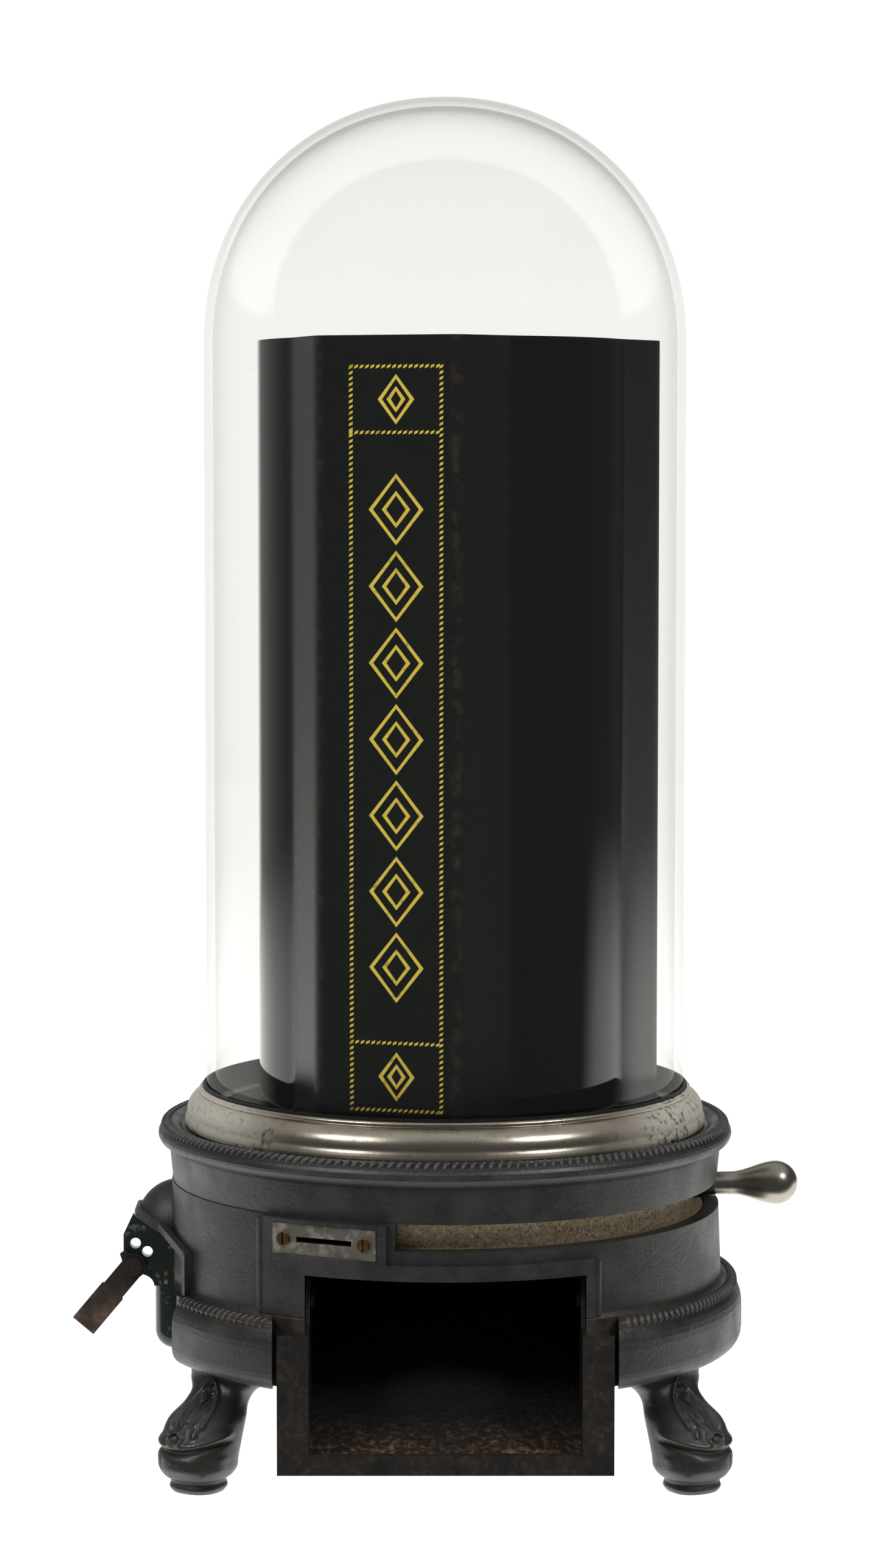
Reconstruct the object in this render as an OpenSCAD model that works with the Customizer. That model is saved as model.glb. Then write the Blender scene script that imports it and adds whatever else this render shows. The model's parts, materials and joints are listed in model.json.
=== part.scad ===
// Counter match vending machine: glass dome over a turning magazine, on a cast base with paw feet.
// Millimetres, +Z up. The origin is on the machine's axis, at the surface it stands on; the front faces -Y.

/* [Stand and body] */
// Height of the feet, from the counter to the underside of the body
stand_h = 39; // [32:0.5:54]
// Azimuth of the two front feet, from the front
foot_az = 58; // [52:1:60]
// Azimuth that the front feet face
foot_face_az = 31; // [25:1:60]
// Distance of the foot bolts from the body's inner wall
foot_bolt_in = 5.3; // [5:0.1:7]
// Half width of a foot under the body
knee_half = 13.8; // [12:0.2:16]
// Half width of a foot at its ankle
ankle_half = 10.8; // [8:0.2:12]
// Half width of a paw
paw_half = 13.1; // [10:0.1:15]
// How far a paw's middle stands forward of its bolt
paw_out = 21; // [16:0.5:23]
// Height of the lower body, from its underside to the seam
body_h = 58.8; // [58:0.2:64]
// Outer radius of the lower body at the seam; the round pieces above follow it
body_r = 97.2; // [90:0.2:106]
// How much wider the lower body is at the foot of its wall
body_draft = 1.2; // [0.4:0.1:1.6]
// Wall of the lower body
body_wall = 4.9; // [4:0.1:5.2]
// How far the skirt stands out from the body
skirt_out = 8.7; // [7.5:0.1:12]
// Height of the skirt, from the underside to the rope bead
skirt_h = 22.2; // [21:0.1:22.6]
// Diameter of the rope bead
rope_d = 3.4; // [2.4:0.1:3.8]
// Half the angle of the gap in the skirt at the cutter
skirt_gap_az = 26.6; // [22:0.2:32]

/* [Delivery opening and tray] */
// Width of the delivery opening
chute_w = 94.6; // [84:0.2:96]
// Height of the delivery opening's top edge above the underside of the body
chute_top = 40; // [38:0.5:41]
// Width of the tray over its front flanges
tray_w = 112.4; // [106:0.2:116]
// How far the tray's front stands out from the body
tray_out = 5.8; // [4:0.2:9]
// Height of the tray's lowest edge above the counter
tray_z = 14.5; // [8:0.5:22]
// Height of the tray's front lip
tray_lip = 7; // [4:0.5:12]
// Thickness of the tray's sheet iron
tray_sheet = 1.4; // [1:0.1:2]

/* [Coin plate] */
// Azimuth of the coin plate, left of the front
coin_az = -24.6; // [-25.5:0.1:-24]
// Width of the coin plate
coin_plate_w = 38.4; // [34:0.2:39]
// Height of the coin plate
coin_plate_h = 10.3; // [9:0.1:11]
// Thickness of the coin plate
coin_plate_t = 1.5; // [1:0.1:2]
// Height of the coin plate's middle below the seam
coin_drop = 7.1; // [6.6:0.1:7.4]
// Length of the coin slot
coin_slot_w = 20.6; // [20:0.1:22]
// Height of the coin slot
coin_slot_h = 1.9; // [1.7:0.1:2.2]
// Distance between the coin plate's screws
coin_screw_pitch = 30; // [27:0.5:31]

/* [Lever and drive ring] */
// Height of the lever slot below the seam
slot_h = 9; // [8.8:0.1:9.6]
// Azimuth of the slot's left end
slot_left_az = -10; // [-11:0.5:-6]
// Azimuth of the slot's right end
slot_right_az = 99.5; // [98:0.5:104]
// Azimuth of the lever at rest
lever_az = 94; // [90:0.5:95]
// Gap between the body's inner wall and the drive ring
ring_in = 3.7; // [3.4:0.1:4.4]
// Wall of the drive ring
ring_wall = 5; // [4:0.2:6]
// Diameter of the lever's steel shank
shank_d = 6; // [4:0.5:6.5]
// Diameter of the knob's neck, which runs in the slot
knob_neck_d = 8.2; // [7.6:0.1:8.4]
// Largest diameter of the knob
knob_d = 15.6; // [12:0.2:18]
// How far the lever's knob stands out past the body
knob_out = 29.8; // [23:0.2:35]

/* [Top ring and decks] */
// Height of the top ring, from the seam to the crest of its rope lip
top_ring_h = 20.8; // [18:0.2:26]
// How deep the collar sits below the crest of the rope lip
collar_sunk = 1.8; // [1:0.2:3]
// How far the beaded flange stands out from the body
flange_out = 4.8; // [3:0.2:7]
// How far the bore of the top ring lies inside the body's outer face
top_bore_in = 7.2; // [6.8:0.1:7.6]
// Thickness of the deck that carries the turret
deck_t = 2.5; // [2:0.1:3]
// Thickness of the ring plate that carries the drive ring
base_deck_t = 2.4; // [2:0.1:2.6]

/* [Glass dome and collar] */
// Gap between the top ring's bore and the glass
glass_in = 5.2; // [4.8:0.1:6]
// Thickness of the glass
glass_wall = 3.2; // [2.5:0.1:4]
// Length of the straight part of the glass
glass_straight = 269.4; // [262:0.2:300]
// Rise of the glass crown
glass_rise = 86; // [78:0.5:92]
// Squareness of the glass crown (2 is an ellipse)
glass_power = 2.08; // [2:0.02:2.3]
// Height of the collar above its seat
collar_h = 13.8; // [11:0.2:16]
// How far the collar's foot laps over the top ring's bore
collar_lap = 2.6; // [1.5:0.1:3]
// How far the collar's lip stands out from the glass
collar_lip_out = 2.6; // [2.2:0.1:3.2]
// Radial thickness of the gasket round the glass
gasket_t = 1.1; // [0.8:0.1:1.3]

/* [Turret] */
// Angle the turret is left at: azimuth of the middle of its front lobe
turret_az = -16; // [-60:1:60]
// Number of box columns
lobes = 3; // [3:1:3]
// Gap between the corners of the lobes and the glass
turret_gap = 5.5; // [4:0.1:8]
// How far a lobe's flat face stands out from the drum
lobe_rise = 6; // [4:0.2:8]
// How far a lobe's face stands past the box on each side
lobe_wall = 0.7; // [0.6:0.1:1.2]
// How far the lobe's flanks spread for each millimetre inward
lobe_spread = 0.766; // [0.7:0.01:0.8]
// Sheet of the turret's shell
turret_sheet = 0.9; // [0.7:0.1:1.2]
// Height of the turret's shell
turret_h = 282.5; // [270:0.5:290]
// Width of a box column
box_w = 48; // [44:0.2:53.6]
// Depth of a box column, front to back
box_depth = 36; // [32:0.5:37]
// Diameter of the spindle
spindle_d = 10; // [8:0.5:12]
// Wall of the turret's hub tube
hub_wall = 4; // [3:0.5:6]

/* [Cutter] */
// How deep the bracket's seat is cut into the body
cutter_seat_in = 2; // [1.6:0.1:2.4]
// Distance of the cutter lever's pivot from the bracket's seat
cutter_reach = 15.6; // [14:0.2:17]
// Height of the cutter's pivot above the underside of the body
cutter_up = 27.1; // [26:0.2:28.4]
// Length of the cutter lever from its pivot to its end
cutter_len = 28; // [24:0.5:36]
// Width of the cutter lever
cutter_w = 9.4; // [8:0.2:10]
// Thickness of the cutter lever
cutter_t = 2.6; // [2:0.1:3.2]
// Angle of the cutter lever from hanging straight down
cutter_lean = 40; // [34:1:46]
// Diameter of the two tip holes
tip_d = 3.8; // [3.2:0.1:4.2]
// Thickness of the bracket's web
web_t = 4; // [3:0.2:5]

/* [Cash drawer] */
// Width of the drawer pan
pan_w = 94; // [80:0.5:96]
// Height of the drawer pan
pan_h = 8.5; // [7:0.1:8.8]
// Sheet of the drawer pan
pan_sheet = 1.2; // [0.8:0.1:1.6]
// Distance of the pan's inner end from the axis
pan_y = 22; // [21:0.5:30]
// Height of the drawer shelf's top above the underside of the body
shelf_up = 30.6; // [30:0.1:30.8]
// Height of the drawer's face
drawer_face_h = 14.5; // [14:0.1:15]

/* [Clearances] */
// Running gap between turning pieces
run_gap = 0.3; // [0.25:0.01:0.4]
// Gap between the tray's flanges and the ends of the skirt
tray_gap = 2.2; // [0.4:0.1:2.6]
// Radial gap of the turret on its spindle
bore_gap = 0.05; // [0.02:0.01:0.1]
// Gap between fixed pieces that slip together
fit_gap = 0.1; // [0.05:0.01:0.2]

/* [Hidden] */
$fn = 96;
seam_z = stand_h + body_h;
body_ri = body_r - body_wall;
skirt_r = body_r + skirt_out;
rope_z = stand_h + skirt_h;
rope_r = body_r + body_draft + 3.4;
slot_z = seam_z - slot_h;
chute_z = stand_h + chute_top;
ring_top_z = seam_z + top_ring_h;

// The foot of the body's wall and the cove that runs from it to the rope bead
wall_foot_r = body_r + body_draft;
cove_r = 3.2;
cove_z = rope_z + 1.5;
skirt_foot_r = skirt_r - 5.6;
skirt_round = 6;
skirt_full_z = stand_h + 14;
cut_r = skirt_r + 20;

// Apron: its face, the top of the cove it rises from, and how far it runs down behind the tray's flanges
apron_r = wall_foot_r + 1.1;
apron_z = cove_z + cove_r / 2;
apron_drop = 4;

// Ring plate, drive ring and disc under the seam
base_deck_z = slot_z - 4.8;
base_deck_top = base_deck_z + base_deck_t;
base_deck_r = body_ri - fit_gap;
base_deck_ri = base_deck_r - 28;
ring_z = base_deck_top + run_gap;
ring_r = body_ri - ring_in;
ring_ri = ring_r - ring_wall;
ring_foot_r = body_ri - 0.4;
ring_foot_h = slot_z - 0.4 - ring_z;
deck_ledge_z = seam_z + 6;
ring_h = deck_ledge_z - run_gap - ring_z;
disc_t = 2;
disc_seat_ri = ring_ri - 6;
disc_z = seam_z + 0.6;
lever_z = seam_z - slot_h / 2;
lever_swing = 100;
knob_tip_r = body_r + knob_out;

// Deck of the turret and its spindle
top_bore_r = body_r - top_bore_in;
flange_r = body_r + flange_out;
deck_z = deck_ledge_z + 2.2;
deck_top = deck_z + deck_t;
deck_r = top_bore_r - fit_gap;
deck_ledge_ri = top_bore_r - 8;
thrust_h = 1.5;
washer_t = 1;
spindle_r = spindle_d / 2;
turret_z = deck_top + thrust_h + washer_t;
floor_t = 1.6;
hub_h = turret_h - 12;
hub_r = spindle_r + bore_gap + hub_wall;
nut_h = 5;
stud_r = spindle_r * 0.8;

// Lobes of the turret, drawn to stay clear of the glass
glass_r = top_bore_r - glass_in;
lobe_half = box_w / 2 + lobe_wall;
lobe_r = sqrt(pow(glass_r - glass_wall - turret_gap, 2) - pow(lobe_half, 2));
drum_r = lobe_r - lobe_rise;

// Box window of the decks: as wide as a column, and as deep as a box
box_back = lobe_r - turret_sheet - 1.1 - box_depth;
window_gap = 1.5;

// Glass and collar
seat_z = ring_top_z - collar_sunk;
collar_top = seat_z + collar_h;
collar_r = top_bore_r + collar_lap;
collar_lip_r = glass_r + collar_lip_out;
collar_ledge_r = glass_r - glass_wall - 1.6;
spigot_t = 3.7;
spigot_h = 4;
gasket_r = glass_r + fit_gap + gasket_t;
glass_z = seat_z + 6;
crown_z = glass_z + glass_straight;

// Feet
foot_azs = [-foot_az, foot_az, 180];
foot_bolt_d = 5;
foot_bolt_r = body_ri - foot_bolt_in;
foot_boss_d = 14;
foot_boss_h = 12;

// Tray
tray_front = body_r + tray_out;
tray_half = chute_w / 2 - run_gap;
tray_flange_top = rope_z + 0.3;
tray_back = 8;
tray_back_z = chute_z - 6;
tray_screw_z = stand_h + 31;
tray_screw_l = 5.5;

// Cutter: the bracket's seat is the plane x = -cutter_seat
cutter_seat = body_r - cutter_seat_in;
cutter_pivot_x = cutter_seat + cutter_reach;
cutter_pivot_z = stand_h + cutter_up;
seat_half = 60;
flange_t = 3;
web_y = -6;
hood_lean = 27.5;
hood_rim_z = seam_z - 21.4;
web_corner_z = hood_rim_z + (cutter_reach + 0.4) * tan(hood_lean) - 2 * run_gap;
tip_holes = [[0.6, 7.8], [4.8, 4.8]];
pivot_d = 4;

// Cash drawer at the back
shelf_z = stand_h + shelf_up;
shelf_t = 1.6;
pan_z = shelf_z + run_gap;
face_ri = wall_foot_r + run_gap;
face_t = 2;
drawer_open_half = pan_w / 2 + 2;
drawer_open_top = stand_h + 43;
lock_z = pan_z + 6;
lock_d = 9;
plug_d = 6;
cam_r = 7.2;

// Screws
screw_d = 3;
screw_head_d = 5.6;
deck_lug_azs = [58, 128, -62];
deck_screw_azs = [60, 180, -60];
ring_screw_azs = [128, 180, -128];
cover_lug_azs = [95, -95, 148, -148];
shelf_lug_azs = [116, -116];

// Turns local +X to an azimuth, counted from the front towards the right
module at(a) { rotate([0, 0, a - 90]) children(); }

// A ring sector between two azimuths
module sector(r0, r1, a0, a1, z, h) {
  translate([0, 0, z])
    rotate([0, 0, a0 - 90])
      rotate_extrude(angle = a1 - a0)
        translate([r0, 0])
          square([r1 - r0, h]);
}

// A full ring of rectangular section
module ring(r0, r1, z, h) {
  translate([0, 0, z])
    difference() {
      cylinder(r = r1, h = h);
      translate([0, 0, -1]) cylinder(r = r0, h = h + 2);
    }
}

// A pan-head screw with its seat at z = 0, head up, shank down
module pan_screw(d, head_d, head_h, len) {
  cylinder(d = head_d, h = head_h);
  translate([0, 0, -len]) cylinder(d = d, h = len + 0.1);
}

// The same with a slot for a screwdriver
module slotted_screw(d, head_d, head_h, len) {
  difference() {
    pan_screw(d, head_d, head_h, len);
    translate([-head_d, -head_d * 0.08, head_h * 0.5]) cube([2 * head_d, head_d * 0.16, head_h]);
  }
}

// A countersunk screw with its face at z = 0
module flat_screw(d, head_d, len) {
  sink = (head_d - d) / 2;
  translate([0, 0, -sink]) cylinder(d1 = d, d2 = head_d, h = sink);
  translate([0, 0, -len]) cylinder(d = d, h = len - sink + 0.1);
}

// The hole that a countersunk screw leaves
module flat_screw_hole(d, head_d, len) {
  sink = (head_d - d) / 2;
  translate([0, 0, -sink]) cylinder(d1 = d + 2 * fit_gap, d2 = head_d + 2 * fit_gap, h = sink + 0.01);
  translate([0, 0, -len]) cylinder(d = d + 2 * fit_gap, h = len);
}

// The opening through which a box drops, with its middle at an azimuth
module box_window(a, z, h, gap) {
  at(a)
    translate([box_back - gap, -box_w / 2 - gap, z])
      cube([box_depth + 2 * gap, box_w + 2 * gap, h]);
}

// Section of the lower body: skirt, rope seat, cove and drafted wall
module body_section() {
  polygon(concat(
    [[body_ri, stand_h]],
    [for (t = [0:15:90])
      [skirt_foot_r + (skirt_r - skirt_foot_r) * sin(t), stand_h + skirt_round * (1 - cos(t))]],
    [for (t = [0:15:90])
      [rope_r + (skirt_r - rope_r) * cos(t), skirt_full_z + (rope_z - skirt_full_z) * sin(t)]],
    [for (t = [0:15:90]) [wall_foot_r + cove_r * (1 - sin(t)), cove_z + cove_r * (1 - cos(t))]],
    [[body_r, seam_z], [body_ri, seam_z]]));
}

// Raised apron round the coin plate and over the delivery opening, and the ribs at its sides
module apron() {
  low_top = slot_z - 4.6;
  sector(body_ri + 1, apron_r, -39.4, slot_left_az - 1.5, apron_z, seam_z - apron_z - 0.3);
  sector(body_ri + 1, apron_r, slot_left_az - 2, 31, apron_z, low_top - apron_z);
  for (a = [-39.4, 31])
    at(a) translate([apron_r - 0.9, 0.3, apron_z + 0.5])
      cylinder(d = 3, h = (a < 0 ? seam_z - 1.2 : low_top - 0.8) - apron_z - 0.5);
}

// Round hood over the cutter, cut off along a slanted rim, with a lip along the rim
module cutter_hood() {
  hood_r = 15.6;
  lip = 1.3;
  lip_h = 3.4;
  hood_z = seam_z - 1.6 - hood_r;
  for (part = [[hood_r, 40], [hood_r + lip, lip_h]])
    intersection() {
      difference() {
        translate([-cutter_seat + 0.7, 0, hood_z]) sphere(r = part[0]);
        cylinder(r = body_ri + 0.5, h = 2 * seam_z);
      }
      translate([-cutter_seat, 0, hood_rim_z])
        rotate([0, hood_lean, 0])
          translate([-30, -30, 0]) cube([60, 60, part[1]]);
    }
}

// Upright rib of the casting in front of the bracket, and the slanted bar from it to the hood
module cutter_frame() {
  rib_az = -63.6;
  rib_r = body_r + 4.2;
  rib_w = 2.4;
  rib_foot = stand_h + 0.5;
  bar_h = 2.8;
  low = [(rib_r - 1.6) * sin(rib_az), -(rib_r - 1.6) * cos(rib_az), seam_z - 21.2];
  high = [-cutter_seat - 7.4, -9.4, seam_z - 15];
  run = high - low;
  at(rib_az)
    translate([body_ri + 1.5, -rib_w / 2, rib_foot])
      cube([rib_r - body_ri - 1.5, rib_w, low[2] + 0.9 - rib_foot]);
  translate(low)
    rotate([0, -atan2(run[2], norm([run[0], run[1]])), atan2(run[1], run[0])])
      translate([-1.1, -rib_w / 2, -bar_h / 2]) cube([norm(run) + 1.1, rib_w, bar_h]);
}

// Pad inside the wall that a foot bolt passes through
module foot_boss(a) {
  raised = 0.3;
  at(a) translate([foot_bolt_r, 0, stand_h + raised]) {
    cylinder(d = foot_boss_d, h = foot_boss_h - raised);
    translate([0, -foot_boss_d / 2, 0]) cube([body_ri + 3 - foot_bolt_r, foot_boss_d, foot_boss_h - raised]);
  }
}

module base_body() {
  color("dimgray") {
    difference() {
      union() {
        rotate_extrude() body_section();
        rotate_extrude() translate([rope_r, rope_z]) circle(d = rope_d, $fn = 32);
        apron();
        for (a = foot_azs) foot_boss(a);
        for (a = deck_lug_azs) at(a) translate([body_ri - 4.2, 0, base_deck_z - 8]) cylinder(d = 11, h = 8);
        for (a = shelf_lug_azs) at(a) translate([body_ri - 4.2, 0, shelf_z - shelf_t - 7])
          cylinder(d = 11, h = 7);
        for (a = cover_lug_azs) at(a) translate([body_ri - 3.6, 0, stand_h + tray_sheet])
          cylinder(d = 10, h = 8);
      }
      // Lever slot, open at the seam
      sector(body_ri - 1, body_r + 8, slot_left_az, slot_right_az, slot_z, slot_h + 1);
      // Seat of the coin plate and the coin's way through the wall
      at(coin_az) translate([coin_seat_r, -coin_plate_w / 2 - fit_gap, coin_z - coin_plate_h / 2 - fit_gap])
        cube([20, coin_plate_w + 2 * fit_gap, coin_plate_h + 2 * fit_gap]);
      at(coin_az) translate([body_ri - 2, -coin_slot_w / 2 - 0.4, coin_z - coin_slot_h / 2 - 0.3])
        cube([20, coin_slot_w + 0.8, coin_slot_h + 0.6]);
      for (s = [-1, 1])
        at(coin_az) translate([body_ri - 2, s * coin_screw_pitch / 2, coin_z])
          rotate([0, 90, 0]) cylinder(d = screw_d * 0.8 + 2 * fit_gap, h = 20);
      // Delivery opening, and the gap in the skirt for the tray
      translate([-chute_w / 2, -cut_r, stand_h - 1]) cube([chute_w, cut_r / 2, chute_z - stand_h + 1]);
      difference() {
        translate([-tray_w / 2 - tray_gap, -cut_r, stand_h - 1])
          cube([tray_w + 2 * tray_gap, cut_r / 2, apron_z + 0.7 - stand_h + 1]);
        cylinder(r = wall_foot_r - 1.5, h = 2 * seam_z);
        translate([0, 0, rope_z - apron_drop]) cylinder(r = apron_r - 0.1, h = seam_z);
      }
      // Seat of the cutter bracket, and the gap in the skirt below it
      sector(wall_foot_r - 2, skirt_r + 8, -90 - skirt_gap_az, -90 + skirt_gap_az,
        stand_h - 1, cove_z - stand_h + 1);
      translate([-cutter_seat - 30, -seat_half, stand_h - 1])
        cube([30, 2 * seat_half, seam_z - 18 - stand_h + 1]);
      for (p = bracket_screw_at)
        translate([-cutter_seat - 1, p[0], p[1]]) rotate([0, 90, 0])
          cylinder(d = screw_d + 2 * fit_gap, h = 12);
      // Drawer opening
      translate([-drawer_open_half, cut_r / 2, shelf_z])
        cube([2 * drawer_open_half, cut_r / 2, drawer_open_top - shelf_z]);
      // Screw holes
      for (a = foot_azs)
        at(a) translate([foot_bolt_r, 0, stand_h - 1])
          cylinder(d = foot_bolt_d + 2 * fit_gap, h = foot_boss_h + 2);
      for (a = deck_lug_azs)
        at(a) translate([base_screw_r, 0, base_deck_z - 9]) cylinder(d = screw_d + 2 * fit_gap, h = 10);
      for (a = shelf_lug_azs)
        at(a) translate([base_screw_r, 0, shelf_z - shelf_t - 8])
          cylinder(d = screw_d + 2 * fit_gap, h = 9);
      for (a = cover_lug_azs)
        at(a) translate([base_screw_r, 0, stand_h]) cylinder(d = screw_d + 2 * fit_gap, h = 12);
      for (a = ring_screw_azs)
        at(a) translate([body_ri - 2, 0, ring_screw_z]) rotate([0, 90, 0])
          cylinder(d = screw_d + 2 * fit_gap, h = 12);
      for (s = [-1, 1])
        translate([s * (chute_w / 2 - 1), -tray_screw_y, tray_screw_z])
          rotate([0, s * 90, 0]) cylinder(d = screw_d + 2 * fit_gap, h = tray_screw_l);
    }
    cutter_hood();
    cutter_frame();
  }
}

// Values that belong to the seats cut in the body
coin_z = seam_z - coin_drop;
coin_seat_r = wall_foot_r - 1.8;
base_screw_r = body_ri - 6.2;
ring_screw_z = seam_z - 4.4;
tray_screw_y = sqrt(pow(body_ri + body_wall * 0.4, 2) - pow(chute_w / 2, 2));
bracket_screw_at = [[-11, stand_h + 24], [7, stand_h + 28]];

// A cast foot: knee, ankle, paw and pad, each blended into the next; local +X is the way it faces
module foot_level(z, x, reach, half, round_r) {
  for (i = [-1, 1], j = [-1, 1])
    translate([x + i * (reach - round_r), j * (half - round_r), z])
      cylinder(r = round_r, h = 0.2, $fn = 24);
}

module foot(a, face) {
  // Height, distance forward of the bolt, half depth, half width and corner radius
  levels = [
    [stand_h - 0.2, paw_out * 0.07, knee_half * 0.78, knee_half, 6],
    [stand_h * 0.88, paw_out * 0.1, knee_half * 0.76, knee_half * 0.97, 6],
    [stand_h * 0.74, paw_out * 0.44, ankle_half * 0.9, ankle_half, 6],
    [stand_h * 0.56, paw_out * 0.8, paw_half * 0.97, paw_half, 8],
    [stand_h * 0.28, paw_out, paw_half, paw_half, 9],
    [stand_h * 0.18, paw_out, paw_half * 0.9, paw_half * 0.9, 9],
    [stand_h * 0.12, paw_out, paw_half * 0.76, paw_half * 0.74, 8],
    [0, paw_out, paw_half * 0.68, paw_half * 0.68, 7.6]];
  color("dimgray")
    at(a)
      translate([foot_bolt_r, 0, 0])
        rotate([0, 0, face - a])
          difference() {
            for (i = [0:len(levels) - 2])
              hull() {
                foot_level(levels[i][0], levels[i][1], levels[i][2], levels[i][3], levels[i][4]);
                foot_level(levels[i + 1][0], levels[i + 1][1], levels[i + 1][2],
                  levels[i + 1][3], levels[i + 1][4]);
              }
            translate([0, 0, stand_h - 12]) cylinder(d = foot_bolt_d + 2 * fit_gap, h = 20);
          }
}

module foot_left() { foot(-foot_az, -foot_face_az); }
module foot_right() { foot(foot_az, foot_face_az); }
module foot_rear() { foot(180, 180); }

module foot_bolts() {
  color("gray")
    for (a = foot_azs)
      at(a) translate([foot_bolt_r, 0, stand_h + foot_boss_h]) {
        cylinder(d = 9, h = 4, $fn = 6);
        translate([0, 0, -foot_boss_h - 10]) cylinder(d = foot_bolt_d, h = foot_boss_h + 10.1);
      }
}

module bottom_cover() {
  cover_front = body_ri / 2;
  color("saddlebrown")
    difference() {
      translate([0, 0, stand_h]) cylinder(r = body_ri - fit_gap, h = tray_sheet);
      translate([-cut_r, -cut_r, stand_h - 1]) cube([2 * cut_r, cut_r - cover_front, 10]);
      for (a = foot_azs)
        at(a) translate([foot_bolt_r - foot_boss_d / 2 - run_gap, -foot_boss_d / 2 - run_gap, stand_h - 1])
          cube([30, foot_boss_d + 2 * run_gap, 10]);
      for (a = cover_lug_azs)
        at(a) translate([base_screw_r, 0, stand_h - 1]) cylinder(d = screw_d + 2 * fit_gap, h = 10);
    }
}

module cover_screws() {
  color("gray")
    for (a = cover_lug_azs)
      at(a) translate([base_screw_r, 0, stand_h]) rotate([180, 0, 0])
        pan_screw(screw_d, screw_head_d, 1.8, 8);
}

// Sheet-iron scoop: flanged front, upturned lip, sloping floor and two cheeks
module chute_tray() {
  cheek = [[-tray_front, tray_z], [-tray_front, tray_flange_top], [-wall_foot_r + 10, tray_flange_top],
    [-wall_foot_r + 14, chute_z - 0.6], [tray_back, chute_z - 0.6], [tray_back, tray_back_z],
    [-tray_front + 5, tray_z]];
  floor_line = [[-tray_front, tray_z], [-tray_front + 5, tray_z], [tray_back, tray_back_z],
    [tray_back, tray_back_z + tray_sheet * 1.2], [-tray_front + 4.4, tray_z + tray_sheet],
    [-tray_front, tray_z + tray_sheet]];
  color("saddlebrown")
    difference() {
      union() {
        for (s = [-1, 1])
          translate([s < 0 ? -tray_half : tray_half - tray_sheet, 0, 0])
            rotate([90, 0, 90]) linear_extrude(tray_sheet) polygon(cheek);
        translate([-tray_half, 0, 0]) rotate([90, 0, 90]) linear_extrude(2 * tray_half) polygon(floor_line);
        translate([-tray_half, tray_back - tray_sheet, tray_back_z])
          cube([2 * tray_half, tray_sheet, chute_z - 0.6 - tray_back_z]);
        // Front frame with its lip
        difference() {
          translate([-tray_w / 2, -tray_front, tray_z])
            cube([tray_w, tray_sheet * 1.4, tray_flange_top - tray_z]);
          translate([-tray_half + tray_sheet, -tray_front - 1, tray_z + tray_lip])
            cube([2 * (tray_half - tray_sheet), 10, 100]);
        }
      }
      for (s = [-1, 1])
        translate([s * (tray_half - 4), -tray_screw_y, tray_screw_z])
          rotate([0, s * 90, 0]) cylinder(d = screw_d + 2 * fit_gap, h = 9);
    }
}

module tray_screws() {
  color("gray")
    for (s = [-1, 1])
      translate([s * (tray_half - tray_sheet), -tray_screw_y, tray_screw_z])
        rotate([0, -s * 90, 0]) pan_screw(screw_d, screw_head_d, 1.4, tray_screw_l);
}

module coin_plate() {
  color("lightgray")
    at(coin_az)
      difference() {
        translate([coin_seat_r, -coin_plate_w / 2, coin_z - coin_plate_h / 2])
          cube([coin_plate_t, coin_plate_w, coin_plate_h]);
        translate([coin_seat_r - 1, -coin_slot_w / 2, coin_z - coin_slot_h / 2])
          cube([10, coin_slot_w, coin_slot_h]);
        for (s = [-1, 1])
          translate([coin_seat_r - 1, s * coin_screw_pitch / 2, coin_z])
            rotate([0, 90, 0]) cylinder(d = screw_d * 0.8 + 2 * fit_gap, h = 10);
      }
}

module coin_plate_screws() {
  color("peru")
    for (s = [-1, 1])
      at(coin_az) translate([coin_seat_r + coin_plate_t, s * coin_screw_pitch / 2, coin_z])
        rotate([0, 90, 0]) slotted_screw(screw_d * 0.8, 4.4, 1.1, 5);
}

// Ring plate: drive ring's bed and coin track, with a coin hole at the end of the lever's swing
coin_hole_az = coin_az - lever_swing;
coin_hole_r = body_ri - 13.3;
coin_hole_d = 22;

module base_deck() {
  color("darkgray")
    difference() {
      ring(base_deck_ri, base_deck_r, base_deck_z, base_deck_t);
      box_window(0, base_deck_z - 1, base_deck_t + 2, window_gap + 1);
      at(coin_hole_az) translate([coin_hole_r, 0, base_deck_z - 1])
        cylinder(d = coin_hole_d, h = base_deck_t + 2);
      for (a = deck_lug_azs)
        at(a) translate([base_screw_r, 0, base_deck_top]) flat_screw_hole(screw_d, screw_head_d, 9);
    }
}

module base_deck_screws() {
  color("gray")
    for (a = deck_lug_azs) at(a) translate([base_screw_r, 0, base_deck_top])
      flat_screw(screw_d, screw_head_d, 9);
}

// Sheet trough that leads a dropped coin to the drawer
module coin_chute() {
  trough_w = 20;
  trough_y = -coin_hole_r * cos(coin_hole_az) - trough_w / 2 - 1;
  trough_x0 = coin_hole_r * sin(coin_hole_az) - 6;
  trough_x1 = trough_x0 + 29;
  low_z = pan_z + pan_h + run_gap;
  high_z = base_deck_z - 1.8;
  color("darkgray") {
    for (y = [trough_y, trough_y + trough_w - pan_sheet])
      translate([0, y + pan_sheet, 0]) rotate([90, 0, 0]) linear_extrude(pan_sheet)
        polygon([[trough_x0, high_z], [trough_x1, low_z],
          [trough_x1, base_deck_z], [trough_x0, base_deck_z]]);
    translate([0, trough_y + trough_w, 0]) rotate([90, 0, 0]) linear_extrude(trough_w)
      polygon([[trough_x0, high_z], [trough_x1, low_z], [trough_x1, low_z + pan_sheet],
        [trough_x0, high_z + pan_sheet]]);
  }
}

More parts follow.
